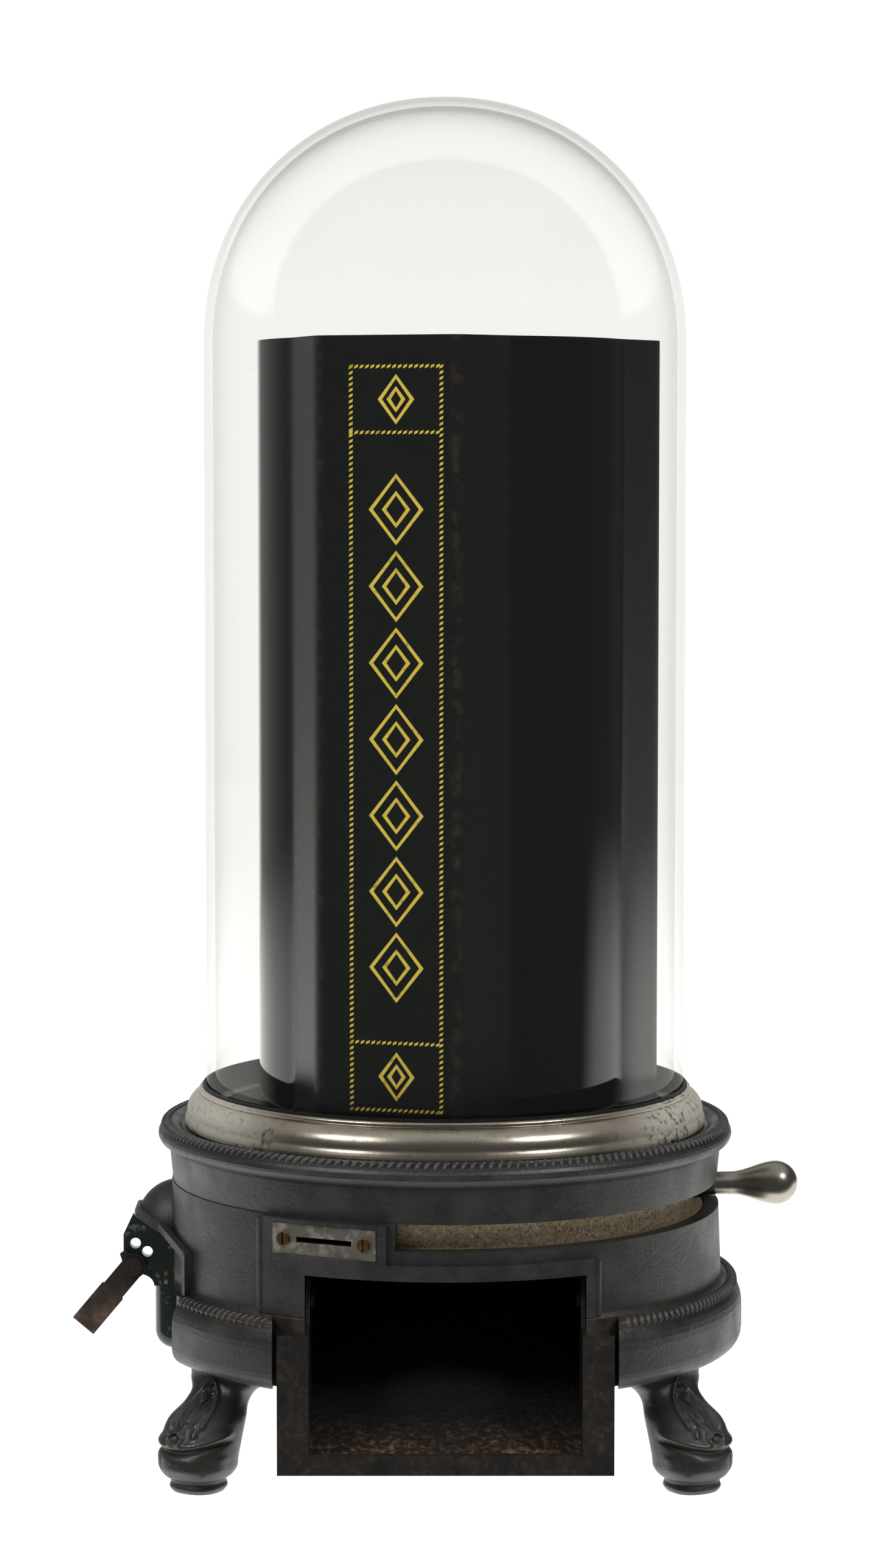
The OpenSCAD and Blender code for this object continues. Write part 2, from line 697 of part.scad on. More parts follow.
module cash_shelf() {
  color("darkgray")
    difference() {
      intersection() {
        translate([0, 0, shelf_z - shelf_t]) cylinder(r = body_ri - fit_gap, h = shelf_t);
        translate([-100, pan_y - 2, 0]) cube([200, 100, 200]);
      }
      for (a = shelf_lug_azs)
        at(a) translate([base_screw_r, 0, shelf_z]) flat_screw_hole(screw_d, screw_head_d, 9);
    }
}

module shelf_screws() {
  color("gray")
    for (a = shelf_lug_azs) at(a) translate([base_screw_r, 0, shelf_z])
      flat_screw(screw_d, screw_head_d, 8);
}

// Cast ring with the flared flange; a spigot at the back drops into the body
module top_ring() {
  ring_foot_r0 = body_r - 0.4;
  lip_z = ring_top_z - 4.4;
  lip_in = 4;
  lip_under = 3.6;
  crest_in = 5.2;
  color("dimgray")
    difference() {
      union() {
        rotate_extrude()
          polygon(concat(
            [[body_ri, seam_z], [ring_foot_r0, seam_z], [flange_r - lip_in, lip_z - lip_under - 1]],
            [for (t = [0:15:90]) [flange_r - lip_in * (1 - sin(t)), lip_z - lip_under * cos(t)]],
            [for (t = [15:15:90])
              [flange_r - crest_in * (1 - cos(t)), lip_z + (ring_top_z - lip_z) * sin(t)]],
            [[collar_r + 2.6, ring_top_z - 0.6], [collar_r + 1, seat_z],
             [top_bore_r, seat_z], [top_bore_r, deck_z], [deck_ledge_ri, deck_z],
             [deck_ledge_ri, deck_ledge_z], [body_ri, deck_ledge_z]]));
        sector(ring_r + 0.8, body_ri - fit_gap, 118, 242, seam_z - 8, deck_ledge_z - seam_z + 9);
      }
      for (a = ring_screw_azs)
        at(a) translate([ring_r, 0, ring_screw_z]) rotate([0, 90, 0])
          cylinder(d = screw_d + 2 * fit_gap, h = 10);
      for (a = deck_screw_azs)
        at(a) translate([deck_screw_r, 0, deck_ledge_z - 1]) cylinder(d = screw_d + 2 * fit_gap, h = 10);
    }
}

deck_screw_r = (deck_ledge_ri + top_bore_r) / 2;

module ring_screws() {
  head_seat = body_r + 0.6;
  color("gray")
    for (a = ring_screw_azs)
      at(a) translate([head_seat, 0, ring_screw_z]) rotate([0, 90, 0])
        pan_screw(screw_d, screw_head_d, 1.6, 6.6);
}

module deck_plate() {
  color("darkgray")
    difference() {
      translate([0, 0, deck_z]) cylinder(r = deck_r, h = deck_t);
      translate([0, 0, deck_z - 1]) cylinder(r = stud_r + fit_gap, h = deck_t + 2);
      box_window(0, deck_z - 1, deck_t + 2, window_gap);
      for (a = deck_screw_azs)
        at(a) translate([deck_screw_r, 0, deck_z - 1]) cylinder(d = screw_d + 2 * fit_gap, h = deck_t + 2);
      at(detent_az) translate([detent_r, detent_len, deck_z - 1])
        cylinder(d = screw_d + 2 * fit_gap, h = deck_t + 2);
    }
}

module deck_screws() {
  color("gray")
    for (a = deck_screw_azs)
      at(a) translate([deck_screw_r, 0, deck_top]) pan_screw(screw_d, screw_head_d, 1.8, deck_t + 1.6);
}

// Fixed post: stud below the deck, thrust collar, journal, and a stud for the cap nut
module spindle() {
  journal_top = turret_z + hub_h + run_gap;
  color("silver") {
    translate([0, 0, deck_z - nut_h]) cylinder(r = stud_r, h = nut_h + deck_t + 0.1);
    translate([0, 0, deck_top]) cylinder(r = hub_r + 3, h = thrust_h);
    translate([0, 0, deck_top + thrust_h]) cylinder(r = spindle_r, h = journal_top - deck_top - thrust_h);
    translate([0, 0, journal_top - 0.1]) cylinder(r = stud_r, h = nut_h + 0.1);
  }
}

module hex_nut(z, bore_r, across, h) {
  translate([0, 0, z])
    difference() {
      cylinder(d = across / cos(30), h = h, $fn = 6);
      translate([0, 0, -1]) cylinder(r = bore_r, h = h + 2);
    }
}

module spindle_nut() {
  color("gray") hex_nut(deck_z - nut_h, stud_r + bore_gap, stud_r * 3.4, nut_h);
}

module spindle_cap_nut() {
  journal_top = turret_z + hub_h + run_gap;
  color("gray")
    difference() {
      union() {
        translate([0, 0, journal_top]) cylinder(r = hub_r, h = 1.5);
        translate([0, 0, journal_top + 1.5]) cylinder(d = stud_r * 3.4 / cos(30), h = nut_h, $fn = 6);
      }
      translate([0, 0, journal_top - 1]) cylinder(r = stud_r + bore_gap, h = nut_h + 1);
    }
}

module thrust_washer() {
  color("goldenrod") ring(spindle_r + bore_gap, hub_r + 2, deck_top + thrust_h, washer_t);
}

// Leaf that holds the turret at a column: a strip with a nose under the turret's floor
detent_az = 200;
detent_r = drum_r - 4;
detent_len = 26;
detent_t = 0.6;
nose_d = 5;
floor_z = turret_z + 1.2;

module detent_spring() {
  nose_h = floor_z - run_gap - deck_top - detent_t;
  color("silver")
    at(detent_az)
      difference() {
        union() {
          translate([detent_r - 4, -5, deck_top]) cube([8, detent_len + 10, detent_t]);
          translate([detent_r, 0, deck_top + detent_t - 0.05])
            cylinder(d1 = nose_d, d2 = nose_d * 0.5, h = nose_h + 0.05);
        }
        translate([detent_r, detent_len, deck_top - 1]) cylinder(d = screw_d + 2 * fit_gap, h = 10);
      }
}

module detent_screw() {
  color("gray")
    at(detent_az) translate([detent_r, detent_len, deck_top + detent_t])
      pan_screw(screw_d, screw_head_d, 1.4, 4);
}

// Glossy bracket: foot flange on the body's seat, web with two tip holes, and a half-round hanging tongue
module cutter_bracket() {
  flange_top = seam_z - 23.5;
  tongue_z = stand_h - 4;
  tongue_r = 6.8;
  tongue_flat = 0.2;
  tongue_out = 1.6;
  tongue_x = -cutter_seat - tongue_out;
  boss_r = 3.7;
  web_in = -cutter_seat - 0.5;
  web_low = cutter_pivot_z - 4.6;
  arc_r = cutter_reach - tongue_out - tongue_r - 1.4;
  color("darkgreen")
    difference() {
      union() {
        translate([-cutter_seat - flange_t, -16, stand_h + 18])
          cube([flange_t, 28, flange_top - stand_h - 18]);
        difference() {
          union() {
            translate([tongue_x, 0, tongue_z + tongue_r])
              cylinder(r = tongue_r, h = stand_h + 24 - tongue_z - tongue_r);
            translate([tongue_x, 0, tongue_z + tongue_r]) sphere(r = tongue_r);
          }
          translate([-cutter_seat, -20, 0]) cube([40, 40, seam_z]);
          translate([-cutter_seat - 20, -20, 0]) cube([40, 40, tongue_z + tongue_flat]);
        }
        // Web: its lower edge is a hollow curve from the tongue to the pivot boss
        translate([0, web_y + web_t, 0])
          rotate([90, 0, 0])
            linear_extrude(web_t)
              polygon(concat(
                [[web_in, web_low - 3]],
                [for (t = [0:15:90])
                  [tongue_x - tongue_r - arc_r * (1 - cos(t)), web_low - 3 + arc_r * 0.75 * sin(t)]],
                [for (t = [-80:-20:-180])
                  [-cutter_pivot_x + boss_r * cos(t), cutter_pivot_z + boss_r * sin(t)]],
                [[-cutter_pivot_x - boss_r, cutter_pivot_z + 11], [-cutter_pivot_x - 0.4, web_corner_z],
                 [web_in, flange_top]]));
      }
      for (p = tip_holes)
        translate([-cutter_pivot_x + p[0], 10, cutter_pivot_z + p[1]])
          rotate([90, 0, 0]) cylinder(d = tip_d, h = 40);
      translate([-cutter_pivot_x, 10, cutter_pivot_z]) rotate([90, 0, 0])
        cylinder(d = pivot_d + 2 * bore_gap, h = 40);
      for (p = bracket_screw_at)
        translate([-cutter_seat - 10, p[0], p[1]]) rotate([0, 90, 0])
          cylinder(d = screw_d + 2 * fit_gap, h = 20);
    }
}

module bracket_screws() {
  color("goldenrod")
    for (p = bracket_screw_at)
      translate([-cutter_seat - flange_t, p[0], p[1]]) rotate([0, -90, 0])
        slotted_screw(screw_d, screw_head_d, 1.4, 7);
}

lever_y = web_y - run_gap - cutter_t;

module cutter_pivot() {
  color("gray")
    translate([-cutter_pivot_x, 0, cutter_pivot_z])
      rotate([90, 0, 0]) {
        translate([0, 0, -web_y - web_t]) cylinder(d = pivot_d, h = web_t + cutter_t + 2 * run_gap + 0.1);
        translate([0, 0, -lever_y + run_gap]) cylinder(d = pivot_d + 2.4, h = 1.4);
        translate([0, 0, -web_y - web_t - 1.4]) cylinder(d = pivot_d + 2.4, h = 1.4);
      }
}

// Flat lever with a square end and a heel that shears past the tip holes
module cutter_lever() {
  heel_r = 6.3;
  neck_w = cutter_w * 0.88;
  color("sienna")
    translate([-cutter_pivot_x, lever_y + cutter_t, cutter_pivot_z])
      rotate([90, 0, 0])
        difference() {
          linear_extrude(cutter_t)
            union() {
              circle(d = cutter_w * 0.94);
              rotate(-90 - cutter_lean) {
                translate([0, -neck_w / 2]) square([cutter_len, neck_w]);
                translate([cutter_len * 0.42, -cutter_w / 2]) square([cutter_len * 0.58, cutter_w]);
              }
              rotate(125) polygon([[0, -2], [heel_r, -1.2], [heel_r, 1.4], [0, 3.4]]);
            }
          translate([0, 0, -1]) cylinder(d = pivot_d + 2 * bore_gap, h = cutter_t + 2);
        }
}

// Drive ring: foot that runs on the ring plate, wall seen through the slot, seat for the disc
module drive_ring() {
  color("tan")
    difference() {
      union() {
        ring(ring_ri, ring_r, ring_z, ring_h);
        ring(ring_ri, ring_foot_r, ring_z, ring_foot_h);
        ring(disc_seat_ri, ring_ri + 0.1, disc_z - 3, 3);
      }
      // Pocket that carries the coin along the track
      at(coin_az) translate([disc_seat_ri - 20, -coin_slot_w / 2 - 0.5, ring_z - 1])
        cube([40, coin_slot_w + 1, coin_z + 2 - ring_z + 1]);
      at(lever_az) translate([ring_ri - 20, 0, lever_z]) rotate([0, 90, 0])
        cylinder(d = shank_d + 2 * bore_gap, h = 30);
      for (a = disc_screw_azs)
        at(a) translate([disc_screw_r, 0, disc_z - 4]) cylinder(d = screw_d + 2 * fit_gap, h = 5);
    }
}

disc_screw_azs = [30, 180, -80];
disc_screw_r = ring_ri - screw_head_d / 2 - 0.6;

// Disc that shuts the drop window until the lever has swung
module vend_disc() {
  color("silver")
    difference() {
      translate([0, 0, disc_z]) cylinder(r = ring_ri - fit_gap, h = disc_t);
      translate([0, 0, disc_z - 1]) cylinder(r = stud_r * 3.4, h = disc_t + 2);
      box_window(lever_swing, disc_z - 1, disc_t + 2, window_gap);
      for (a = disc_screw_azs)
        at(a) translate([disc_screw_r, 0, disc_z + disc_t])
          flat_screw_hole(screw_d, screw_head_d, disc_t + 2);
    }
}

module vend_disc_screws() {
  color("gray")
    for (a = disc_screw_azs)
      at(a) translate([disc_screw_r, 0, disc_z + disc_t]) flat_screw(screw_d, screw_head_d, disc_t + 2.6);
}

module lever_shank() {
  color("silver")
    at(lever_az) translate([ring_ri + 0.4, 0, lever_z]) rotate([0, 90, 0])
      cylinder(d = shank_d, h = knob_tip_r - ring_ri - 13);
}

// Teardrop knob with a straight neck that passes through the slot
module lever_knob() {
  neck = knob_neck_d / 2;
  belly = knob_d / 2;
  neck_start = ring_r + 0.2;
  neck_end = body_r + 6;
  belly_at = knob_tip_r - belly;
  color("silver")
    at(lever_az)
      translate([0, 0, lever_z])
        rotate([0, 90, 0])
          rotate_extrude($fn = 64)
            polygon(concat(
              [[shank_d / 2 + bore_gap, neck_start], [neck, neck_start]],
              [for (t = [0:0.1:1])
                [neck + (belly - neck) * (3 * t * t - 2 * t * t * t), neck_end + (belly_at - neck_end) * t]],
              [for (t = [15:15:75]) [belly * cos(t), belly_at + belly * sin(t)]],
              [[0, knob_tip_r], [0, knob_tip_r - 12], [shank_d / 2 + bore_gap, knob_tip_r - 12]]));
}

// Outline of the turret, drawn in by a given amount: a drum with flat-faced lobes
module turret_outline(inset) {
  slope = sqrt(1 + lobe_spread * lobe_spread);
  deep = 30;
  circle(r = drum_r - inset);
  for (i = [0:lobes - 1])
    rotate(turret_az - 90 + i * 360 / lobes)
      polygon([for (p = [[0, -1], [0, 1], [deep, 1], [deep, -1]])
        [lobe_r - inset - p[0],
         p[1] * (lobe_half + lobe_spread * (p[0] + inset) - inset * slope)]]);
}

module turret_shell() {
  color("black")
    translate([0, 0, turret_z])
      linear_extrude(turret_h)
        difference() {
          turret_outline(0);
          turret_outline(turret_sheet);
        }
}

// Plate inside the shell, open at each column and bored for the hub
module turret_plate(z) {
  difference() {
    translate([0, 0, z]) linear_extrude(floor_t) turret_outline(turret_sheet + fit_gap);
    for (i = [0:lobes - 1])
      box_window(turret_az + i * 360 / lobes, z - 1, floor_t + 2, -0.4);
    translate([0, 0, z - 1]) cylinder(r = hub_r + fit_gap, h = floor_t + 2);
  }
}

module turret_floor() {
  color("dimgray")
    difference() {
      turret_plate(floor_z);
      for (i = [0:lobes - 1])
        at(turret_az + 200 + i * 360 / lobes) translate([detent_r, 0, floor_z - 1])
          cylinder(d = nose_d * 0.7, h = floor_t + 2);
    }
}

module turret_top() {
  color("dimgray") turret_plate(turret_z + hub_h - 4);
}

module turret_hub() {
  color("silver") ring(spindle_r + bore_gap, hub_r, turret_z, hub_h);
}

// Three-sided sheet channels that guide the boxes, one in each lobe
module column_backs() {
  z0 = floor_z + floor_t;
  h = turret_z + hub_h - 4 - z0;
  t = turret_sheet;
  color("dimgray")
    for (i = [0:lobes - 1])
      at(turret_az + i * 360 / lobes)
        translate([box_back, -box_w / 2 - t, z0])
          difference() {
            translate([-t, 0, 0]) cube([lobe_r - turret_sheet - 2 - box_back + t, box_w + 2 * t, h]);
            translate([0, t, -1]) cube([100, box_w, h + 2]);
          }
}

// Radius of the glass crown at a share of its rise
function crown(r, s) = r * pow(1 - pow(s, glass_power), 1 / glass_power);

module glass_dome() {
  steps = 20;
  inner_r = glass_r - glass_wall;
  inner_rise = glass_rise - glass_wall;
  color("lightcyan", 0.4)
    rotate_extrude()
      polygon(concat(
        [[inner_r, glass_z], [glass_r, glass_z]],
        [for (i = [0:steps]) let (s = sin(90 * i / steps)) [crown(glass_r, s), crown_z + glass_rise * s]],
        [for (i = [steps:-1:0]) let (s = sin(90 * i / steps))
          [crown(inner_r, s), crown_z + inner_rise * s]]));
}

// Plated ring: spigot in the top ring, ledge under the glass, stepped and rounded outside
// Collar: foot bead, hollow, broad shoulder and a thin lip round the glass
module dome_collar() {
  bead_h = collar_h * 0.24;
  shoulder_z = seat_z + collar_h * 0.36;
  lip_z = seat_z + collar_h * 0.84;
  lip_r = collar_lip_r + 0.4;
  shoulder_r = collar_r - 0.8;
  color("rosybrown")
    rotate_extrude()
      polygon(concat(
        [[collar_ledge_r, seat_z - 1], [top_bore_r - run_gap - spigot_t, seat_z - spigot_h],
         [top_bore_r - run_gap, seat_z - spigot_h], [top_bore_r - run_gap, seat_z]],
        [for (t = [-60:30:60])
          [collar_r - bead_h / 2 * (1 - cos(t)), seat_z + bead_h / 2 * (1 + sin(t) / sin(60))]],
        [for (t = [0:15:90])
          [lip_r + (shoulder_r - lip_r) * cos(t), shoulder_z + (lip_z - shoulder_z) * sin(t)]],
        [[collar_lip_r, lip_z], [collar_lip_r, collar_top], [gasket_r + fit_gap, collar_top],
         [gasket_r + fit_gap, glass_z], [collar_ledge_r, glass_z]]));
}

module dome_gasket() {
  color("black") ring(glass_r + fit_gap, gasket_r, glass_z, collar_top + 0.9 - glass_z);
}

module cash_drawer() {
  color("darkgray")
    difference() {
      intersection() {
        translate([-pan_w / 2, pan_y, pan_z]) cube([pan_w, 100, pan_h]);
        cylinder(r = face_ri - 0.05, h = 200);
      }
      translate([-pan_w / 2 + pan_sheet, pan_y + pan_sheet, pan_z + pan_sheet])
        cube([pan_w - 2 * pan_sheet, 100, 50]);
    }
}

// Curved front of the drawer, which covers the edges of its opening
module drawer_face() {
  face_half = drawer_open_half + 2;
  color("dimgray")
    difference() {
      intersection() {
        ring(face_ri, face_ri + face_t, shelf_z - 0.4, drawer_face_h);
        translate([-face_half, 0, 0]) cube([2 * face_half, 200, 200]);
      }
      translate([0, 60, lock_z]) rotate([-90, 0, 0]) cylinder(d = lock_d + 2 * fit_gap, h = 60);
      for (s = [-1, 1])
        at(180 + s * rivet_az) translate([60, 0, pan_z + pan_sheet / 2])
          rotate([0, 90, 0]) cylinder(d = 0.9, h = 60);
    }
}

rivet_az = 18;

module drawer_rivets() {
  color("gray")
    for (s = [-1, 1])
      at(180 + s * rivet_az) translate([face_ri, 0, pan_z + pan_sheet / 2])
        rotate([0, 90, 0]) {
          cylinder(d = 0.8, h = face_t + 0.1);
          translate([0, 0, face_t]) cylinder(d = 1.8, h = 0.6);
        }
}

module lock_barrel() {
  y0 = body_ri + 0.2;
  y1 = face_ri + face_t + 1.4;
  color("goldenrod")
    difference() {
      union() {
        translate([0, y0, lock_z]) rotate([-90, 0, 0]) cylinder(d = lock_d, h = y1 - y0);
        translate([0, face_ri + face_t, lock_z]) rotate([-90, 0, 0]) cylinder(d = lock_d + 2.6, h = 1);
      }
      translate([0, y0 - 1, lock_z]) rotate([-90, 0, 0]) cylinder(d = plug_d + 2 * bore_gap, h = 30);
    }
}

module lock_plug() {
  y0 = body_ri - 1.8;
  y1 = face_ri + face_t + 1.7;
  color("gold")
    difference() {
      translate([0, y0, lock_z]) rotate([-90, 0, 0]) cylinder(d = plug_d, h = y1 - y0);
      translate([-0.7, y1 - 4, lock_z - 2]) cube([1.4, 6, 4]);
      translate([-10, y0 - 1, lock_z - 20]) cube([20, 2.4, 18.4]);
      translate([-10, y0 - 1, lock_z + 1.6]) cube([20, 2.4, 18.4]);
    }
}

// Flat cam that turns up behind the wall above the drawer's opening
module lock_cam() {
  color("gray")
    translate([0, body_ri - 1.8, lock_z])
      rotate([-90, 0, 0])
        difference() {
          union() {
            cylinder(d = plug_d + 1.2, h = 1.3);
            translate([0, -2.2, 0]) cube([cam_r, 4.4, 1.3]);
          }
          translate([-10, -1.6 - fit_gap / 4, -1]) intersection() {
            cube([20, 3.2 + fit_gap / 2, 4]);
            translate([10, 1.6 + fit_gap / 4, 0]) cylinder(d = plug_d + 2 * bore_gap, h = 4);
          }
        }
}

base_body();
foot_left();
foot_right();
foot_rear();
foot_bolts();
bottom_cover();
cover_screws();
chute_tray();
tray_screws();
coin_plate();
coin_plate_screws();
base_deck();
base_deck_screws();
coin_chute();
cash_shelf();
shelf_screws();
top_ring();
ring_screws();
deck_plate();
deck_screws();
spindle();
spindle_nut();
spindle_cap_nut();
thrust_washer();
detent_spring();
detent_screw();
cutter_bracket();
bracket_screws();
cutter_pivot();
cutter_lever();
drive_ring();
vend_disc();
vend_disc_screws();
lever_shank();
lever_knob();
turret_shell();
turret_floor();
turret_top();
turret_hub();
column_backs();
glass_dome();
dome_collar();
dome_gasket();
cash_drawer();
drawer_face();
drawer_rivets();
lock_barrel();
lock_plug();
lock_cam();
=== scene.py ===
import json
import math
import bmesh
import bpy
import numpy as np
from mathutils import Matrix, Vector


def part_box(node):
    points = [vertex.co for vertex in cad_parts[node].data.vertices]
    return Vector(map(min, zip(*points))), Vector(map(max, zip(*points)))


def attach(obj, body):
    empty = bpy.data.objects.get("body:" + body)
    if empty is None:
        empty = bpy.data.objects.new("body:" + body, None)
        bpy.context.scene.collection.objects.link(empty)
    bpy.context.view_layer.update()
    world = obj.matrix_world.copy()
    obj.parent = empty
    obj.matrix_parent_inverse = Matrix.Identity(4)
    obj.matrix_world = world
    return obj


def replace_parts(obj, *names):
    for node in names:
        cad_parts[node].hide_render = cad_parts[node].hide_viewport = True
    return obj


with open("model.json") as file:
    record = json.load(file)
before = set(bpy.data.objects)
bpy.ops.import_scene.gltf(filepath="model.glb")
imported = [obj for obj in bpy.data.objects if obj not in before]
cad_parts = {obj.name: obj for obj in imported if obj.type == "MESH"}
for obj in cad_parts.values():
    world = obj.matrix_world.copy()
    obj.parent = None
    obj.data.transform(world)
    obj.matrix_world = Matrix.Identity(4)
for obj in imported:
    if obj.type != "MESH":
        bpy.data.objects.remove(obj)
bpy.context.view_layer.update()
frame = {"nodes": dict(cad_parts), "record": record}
mm = 0.001
print("frame loaded:", len(frame["nodes"]), "nodes")


# Shader sockets that take part in Python sums: each operator adds its Math nodes

class Wire:
    def __init__(self, finish, socket):
        self.finish, self.socket = finish, socket

    def math(self, operation, *values):
        inputs = dict(enumerate((self,) + values))
        return self.finish.node("ShaderNodeMath", {"operation": operation}, inputs)

    def __add__(self, other):
        return self.math("ADD", other)

    def __sub__(self, other):
        return self.math("SUBTRACT", other)

    def __rsub__(self, other):
        return self.math("MULTIPLY", -1.0).math("ADD", other)

    def __mul__(self, other):
        return self.math("MULTIPLY", other)

    def __pow__(self, other):
        return self.math("POWER", other)

    def __abs__(self):
        return self.math("ABSOLUTE")

    __radd__, __rmul__ = __add__, __mul__


class Finish:
    # One material; its patterns are laid out on Object coordinates, in metres
    def __init__(self, name, **constants):
        self.material = bpy.data.materials.new(name)
        self.material.use_nodes = True
        self.tree = self.material.node_tree
        self.skin = self.tree.nodes["Principled BSDF"]
        self.place = self.node("ShaderNodeTexCoord", out="Object")
        self.x, self.y, self.z = (self.part(self.place, i) for i in range(3))
        self.wear(**constants)

    def node(self, kind, settings=None, inputs=None, out=0):
        made = self.tree.nodes.new(kind)
        for key, value in (settings or {}).items():
            setattr(made, key, value)
        for key, value in (inputs or {}).items():
            self.feed(made.inputs[key], value)
        return Wire(self, made.outputs[out])

    def feed(self, socket, value):
        if isinstance(value, Wire):
            self.tree.links.new(value.socket, socket)
        elif socket.type == "RGBA":
            socket.default_value = tuple(value) + (1.0,)
        else:
            socket.default_value = value

    def part(self, vector, axis):
        return self.node("ShaderNodeSeparateXYZ", inputs={0: vector}, out=axis)

    def wear(self, **sockets):
        # Python names to the shader's own socket names
        names = {"colour": "Base Color", "rough": "Roughness", "metal": "Metallic", "alpha": "Alpha",
                 "shine": "Specular IOR Level", "rim": "Specular Tint", "normal": "Normal",
                 "glow": "Emission Color", "glowPower": "Emission Strength"}
        for key, value in sockets.items():
            self.feed(self.skin.inputs[names[key]], value)

    def stretched(self, scale):
        return self.node("ShaderNodeMapping", inputs={"Vector": self.place, "Scale": scale})

    def noise(self, scale, detail=4.0, rough=0.55, stretch=None):
        spot = self.stretched(stretch) if stretch else self.place
        settings = {"Vector": spot, "Scale": scale, "Detail": detail, "Roughness": rough}
        return self.node("ShaderNodeTexNoise", inputs=settings)

    def band(self, value, low, high):
        # smooth step from 0 at low to 1 at high
        return self.node("ShaderNodeMapRange", {"interpolation_type": "SMOOTHSTEP"},
                         {"Value": value, "From Min": low, "From Max": high})

    def mix(self, share, first, second):
        return self.node("ShaderNodeMix", {"data_type": "RGBA"}, {0: share, 6: first, 7: second}, out=2)

    def bump(self, height, strength, depth):
        settings = {"Height": height, "Strength": strength, "Distance": depth}
        return self.node("ShaderNodeBump", inputs=settings)

    def attribute(self, name):
        return self.node("ShaderNodeAttribute", {"attribute_name": name}, out="Fac")


def nodeTop(node):
    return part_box(node)[1][2] / mm


def nodeFoot(node):
    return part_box(node)[0][2] / mm


# Finishes

# the two rows of slanted ribs, whose hollows the iron's colour darkens as painted shade
flangeRibs = {"count": 204, "radius": 99.2, "below": 0.9, "half": (1.5, 0.9, 2.2), "tilt": 58.0,
              "twist": 26.0}
ropeRibs = {"count": 216, "radius": 102.1, "height": 61.4, "half": (2.2, 0.9, 2.4), "tilt": 24.0,
            "twist": 24.0, "frontGap": 35.2, "cutterGap": 27.4}


def ironFinish(name, relief=False, paintedGapShade=True, dark=(0.011, 0.0122, 0.0116), pale=(0.023, 0.0246, 0.023)):
    # worn black paint on cast iron: greys mottled by noise, painted shade near black between the ribs,
    # brown in the skirt's rope by the tray; with relief, carving is brown in its hollows, and its heights
    # are polished and painted paler, partly rubbed iron and partly a painted highlight
    made = Finish(name, shine=0.95)
    mottle = made.band(made.noise(60, 6, 0.62), 0.34, 0.68)
    grain = made.noise(850, 3)
    colour = made.mix(mottle, dark, pale)
    colour = made.mix(made.band(grain, 0.56, 0.7) * 0.3, colour, (0.05, 0.05, 0.046))
    rope = made.band(abs(made.z - ropeRibs["height"] * mm), 0.0048, 0.0012)
    # painted shade: near black in the hollows between the ribs of the flange and of the skirt's rope
    if paintedGapShade:
        radius = (made.x * made.x + made.y * made.y) ** 0.5
        crestZ = nodeTop("top_ring") - flangeRibs["below"]
        flangeGapShade = made.band(abs(made.z - crestZ * mm), 0.0017, 0.0012)
        flangeGapShade = flangeGapShade * made.band(radius, 0.0962, 0.0972)
        ropeGapShade = made.band(abs(made.z - ropeRibs["height"] * mm), 0.0034, 0.0024)
        ropeGapShade = ropeGapShade * made.band(radius, 0.098, 0.099)
        colour = made.mix(flangeGapShade.math("MAXIMUM", ropeGapShade), colour, (0.0045, 0.0045, 0.0042))
    nearTray = made.band(abs(made.x), 0.088, 0.056) * made.band(made.y, -0.03, -0.06)
    spots = made.band(made.noise(210, 5, 0.65), 0.42, 0.62)
    colour = made.mix(rope * (0.08 + nearTray * 0.4) * (0.3 + spots * 0.7), colour, (0.085, 0.054, 0.03))
    rough = 0.4 + mottle * 0.14
    if relief:
        height = made.attribute("relief")
        colour = made.mix(made.band(height, 0.35, -0.5) * 0.75, colour, (0.026, 0.0165, 0.011))
        # painted highlight: the carving's heights are made paler, partly rubbed iron and partly standing
        # in for the shine on them
        colour = made.mix(made.band(height, 0.6, 1.4) * 0.6, colour, (0.05, 0.049, 0.045))
        rough = rough - made.band(height, 0.1, 1.2) * 0.16
    made.wear(colour=colour, rough=rough, normal=made.bump(grain + mottle * 0.5, 0.3, 0.0005))
    return made.material


def nickelFinish(name, bright, dull, corrosionAndSideSheen):
    # aged nickel plate: warm cloudy metal, pale towards the two sides with a mottled corrosion bloom that
    # also stands in as a painted reflection of the white surroundings there
    made = Finish(name)
    cloud = made.noise(70, 6)
    fine = made.noise(420, 5)
    # painted reflection: the left and right sides, seen from the front, are made pale and dull, mottled
    # like corrosion bloom
    sideReflectionMask = made.band(abs(made.x), 0.05, 0.082)
    bloomAndSideReflection = sideReflectionMask * made.band(fine * 0.6 + cloud * 0.4, 0.36, 0.5) * corrosionAndSideSheen
    stain = made.band(cloud, 0.42, 0.7)
    pits = made.band(made.noise(900, 3), 0.62, 0.7) * corrosionAndSideSheen
    colour = made.mix(stain, bright, dull)
    colour = made.mix(bloomAndSideReflection * 0.9, colour, (0.6, 0.565, 0.5))
    colour = made.mix(pits * 0.5, colour, (0.12, 0.09, 0.065))
    made.wear(colour=colour, metal=1.0 - bloomAndSideReflection * 0.75, rough=0.27 + stain * 0.1 + bloomAndSideReflection * 0.33,
              normal=made.bump(fine, 0.06, 0.0004))
    return made.material


def plainMetal(name, colour, rough, grime=(0.06, 0.045, 0.03), share=0.5):
    # bare metal with grime in noise patches
    made = Finish(name)
    patch = made.band(made.noise(230, 5), 0.48, 0.72) * share
    made.wear(colour=made.mix(patch, colour, grime), metal=1.0 - patch * 0.8, rough=rough + patch * 0.3)
    return made.material


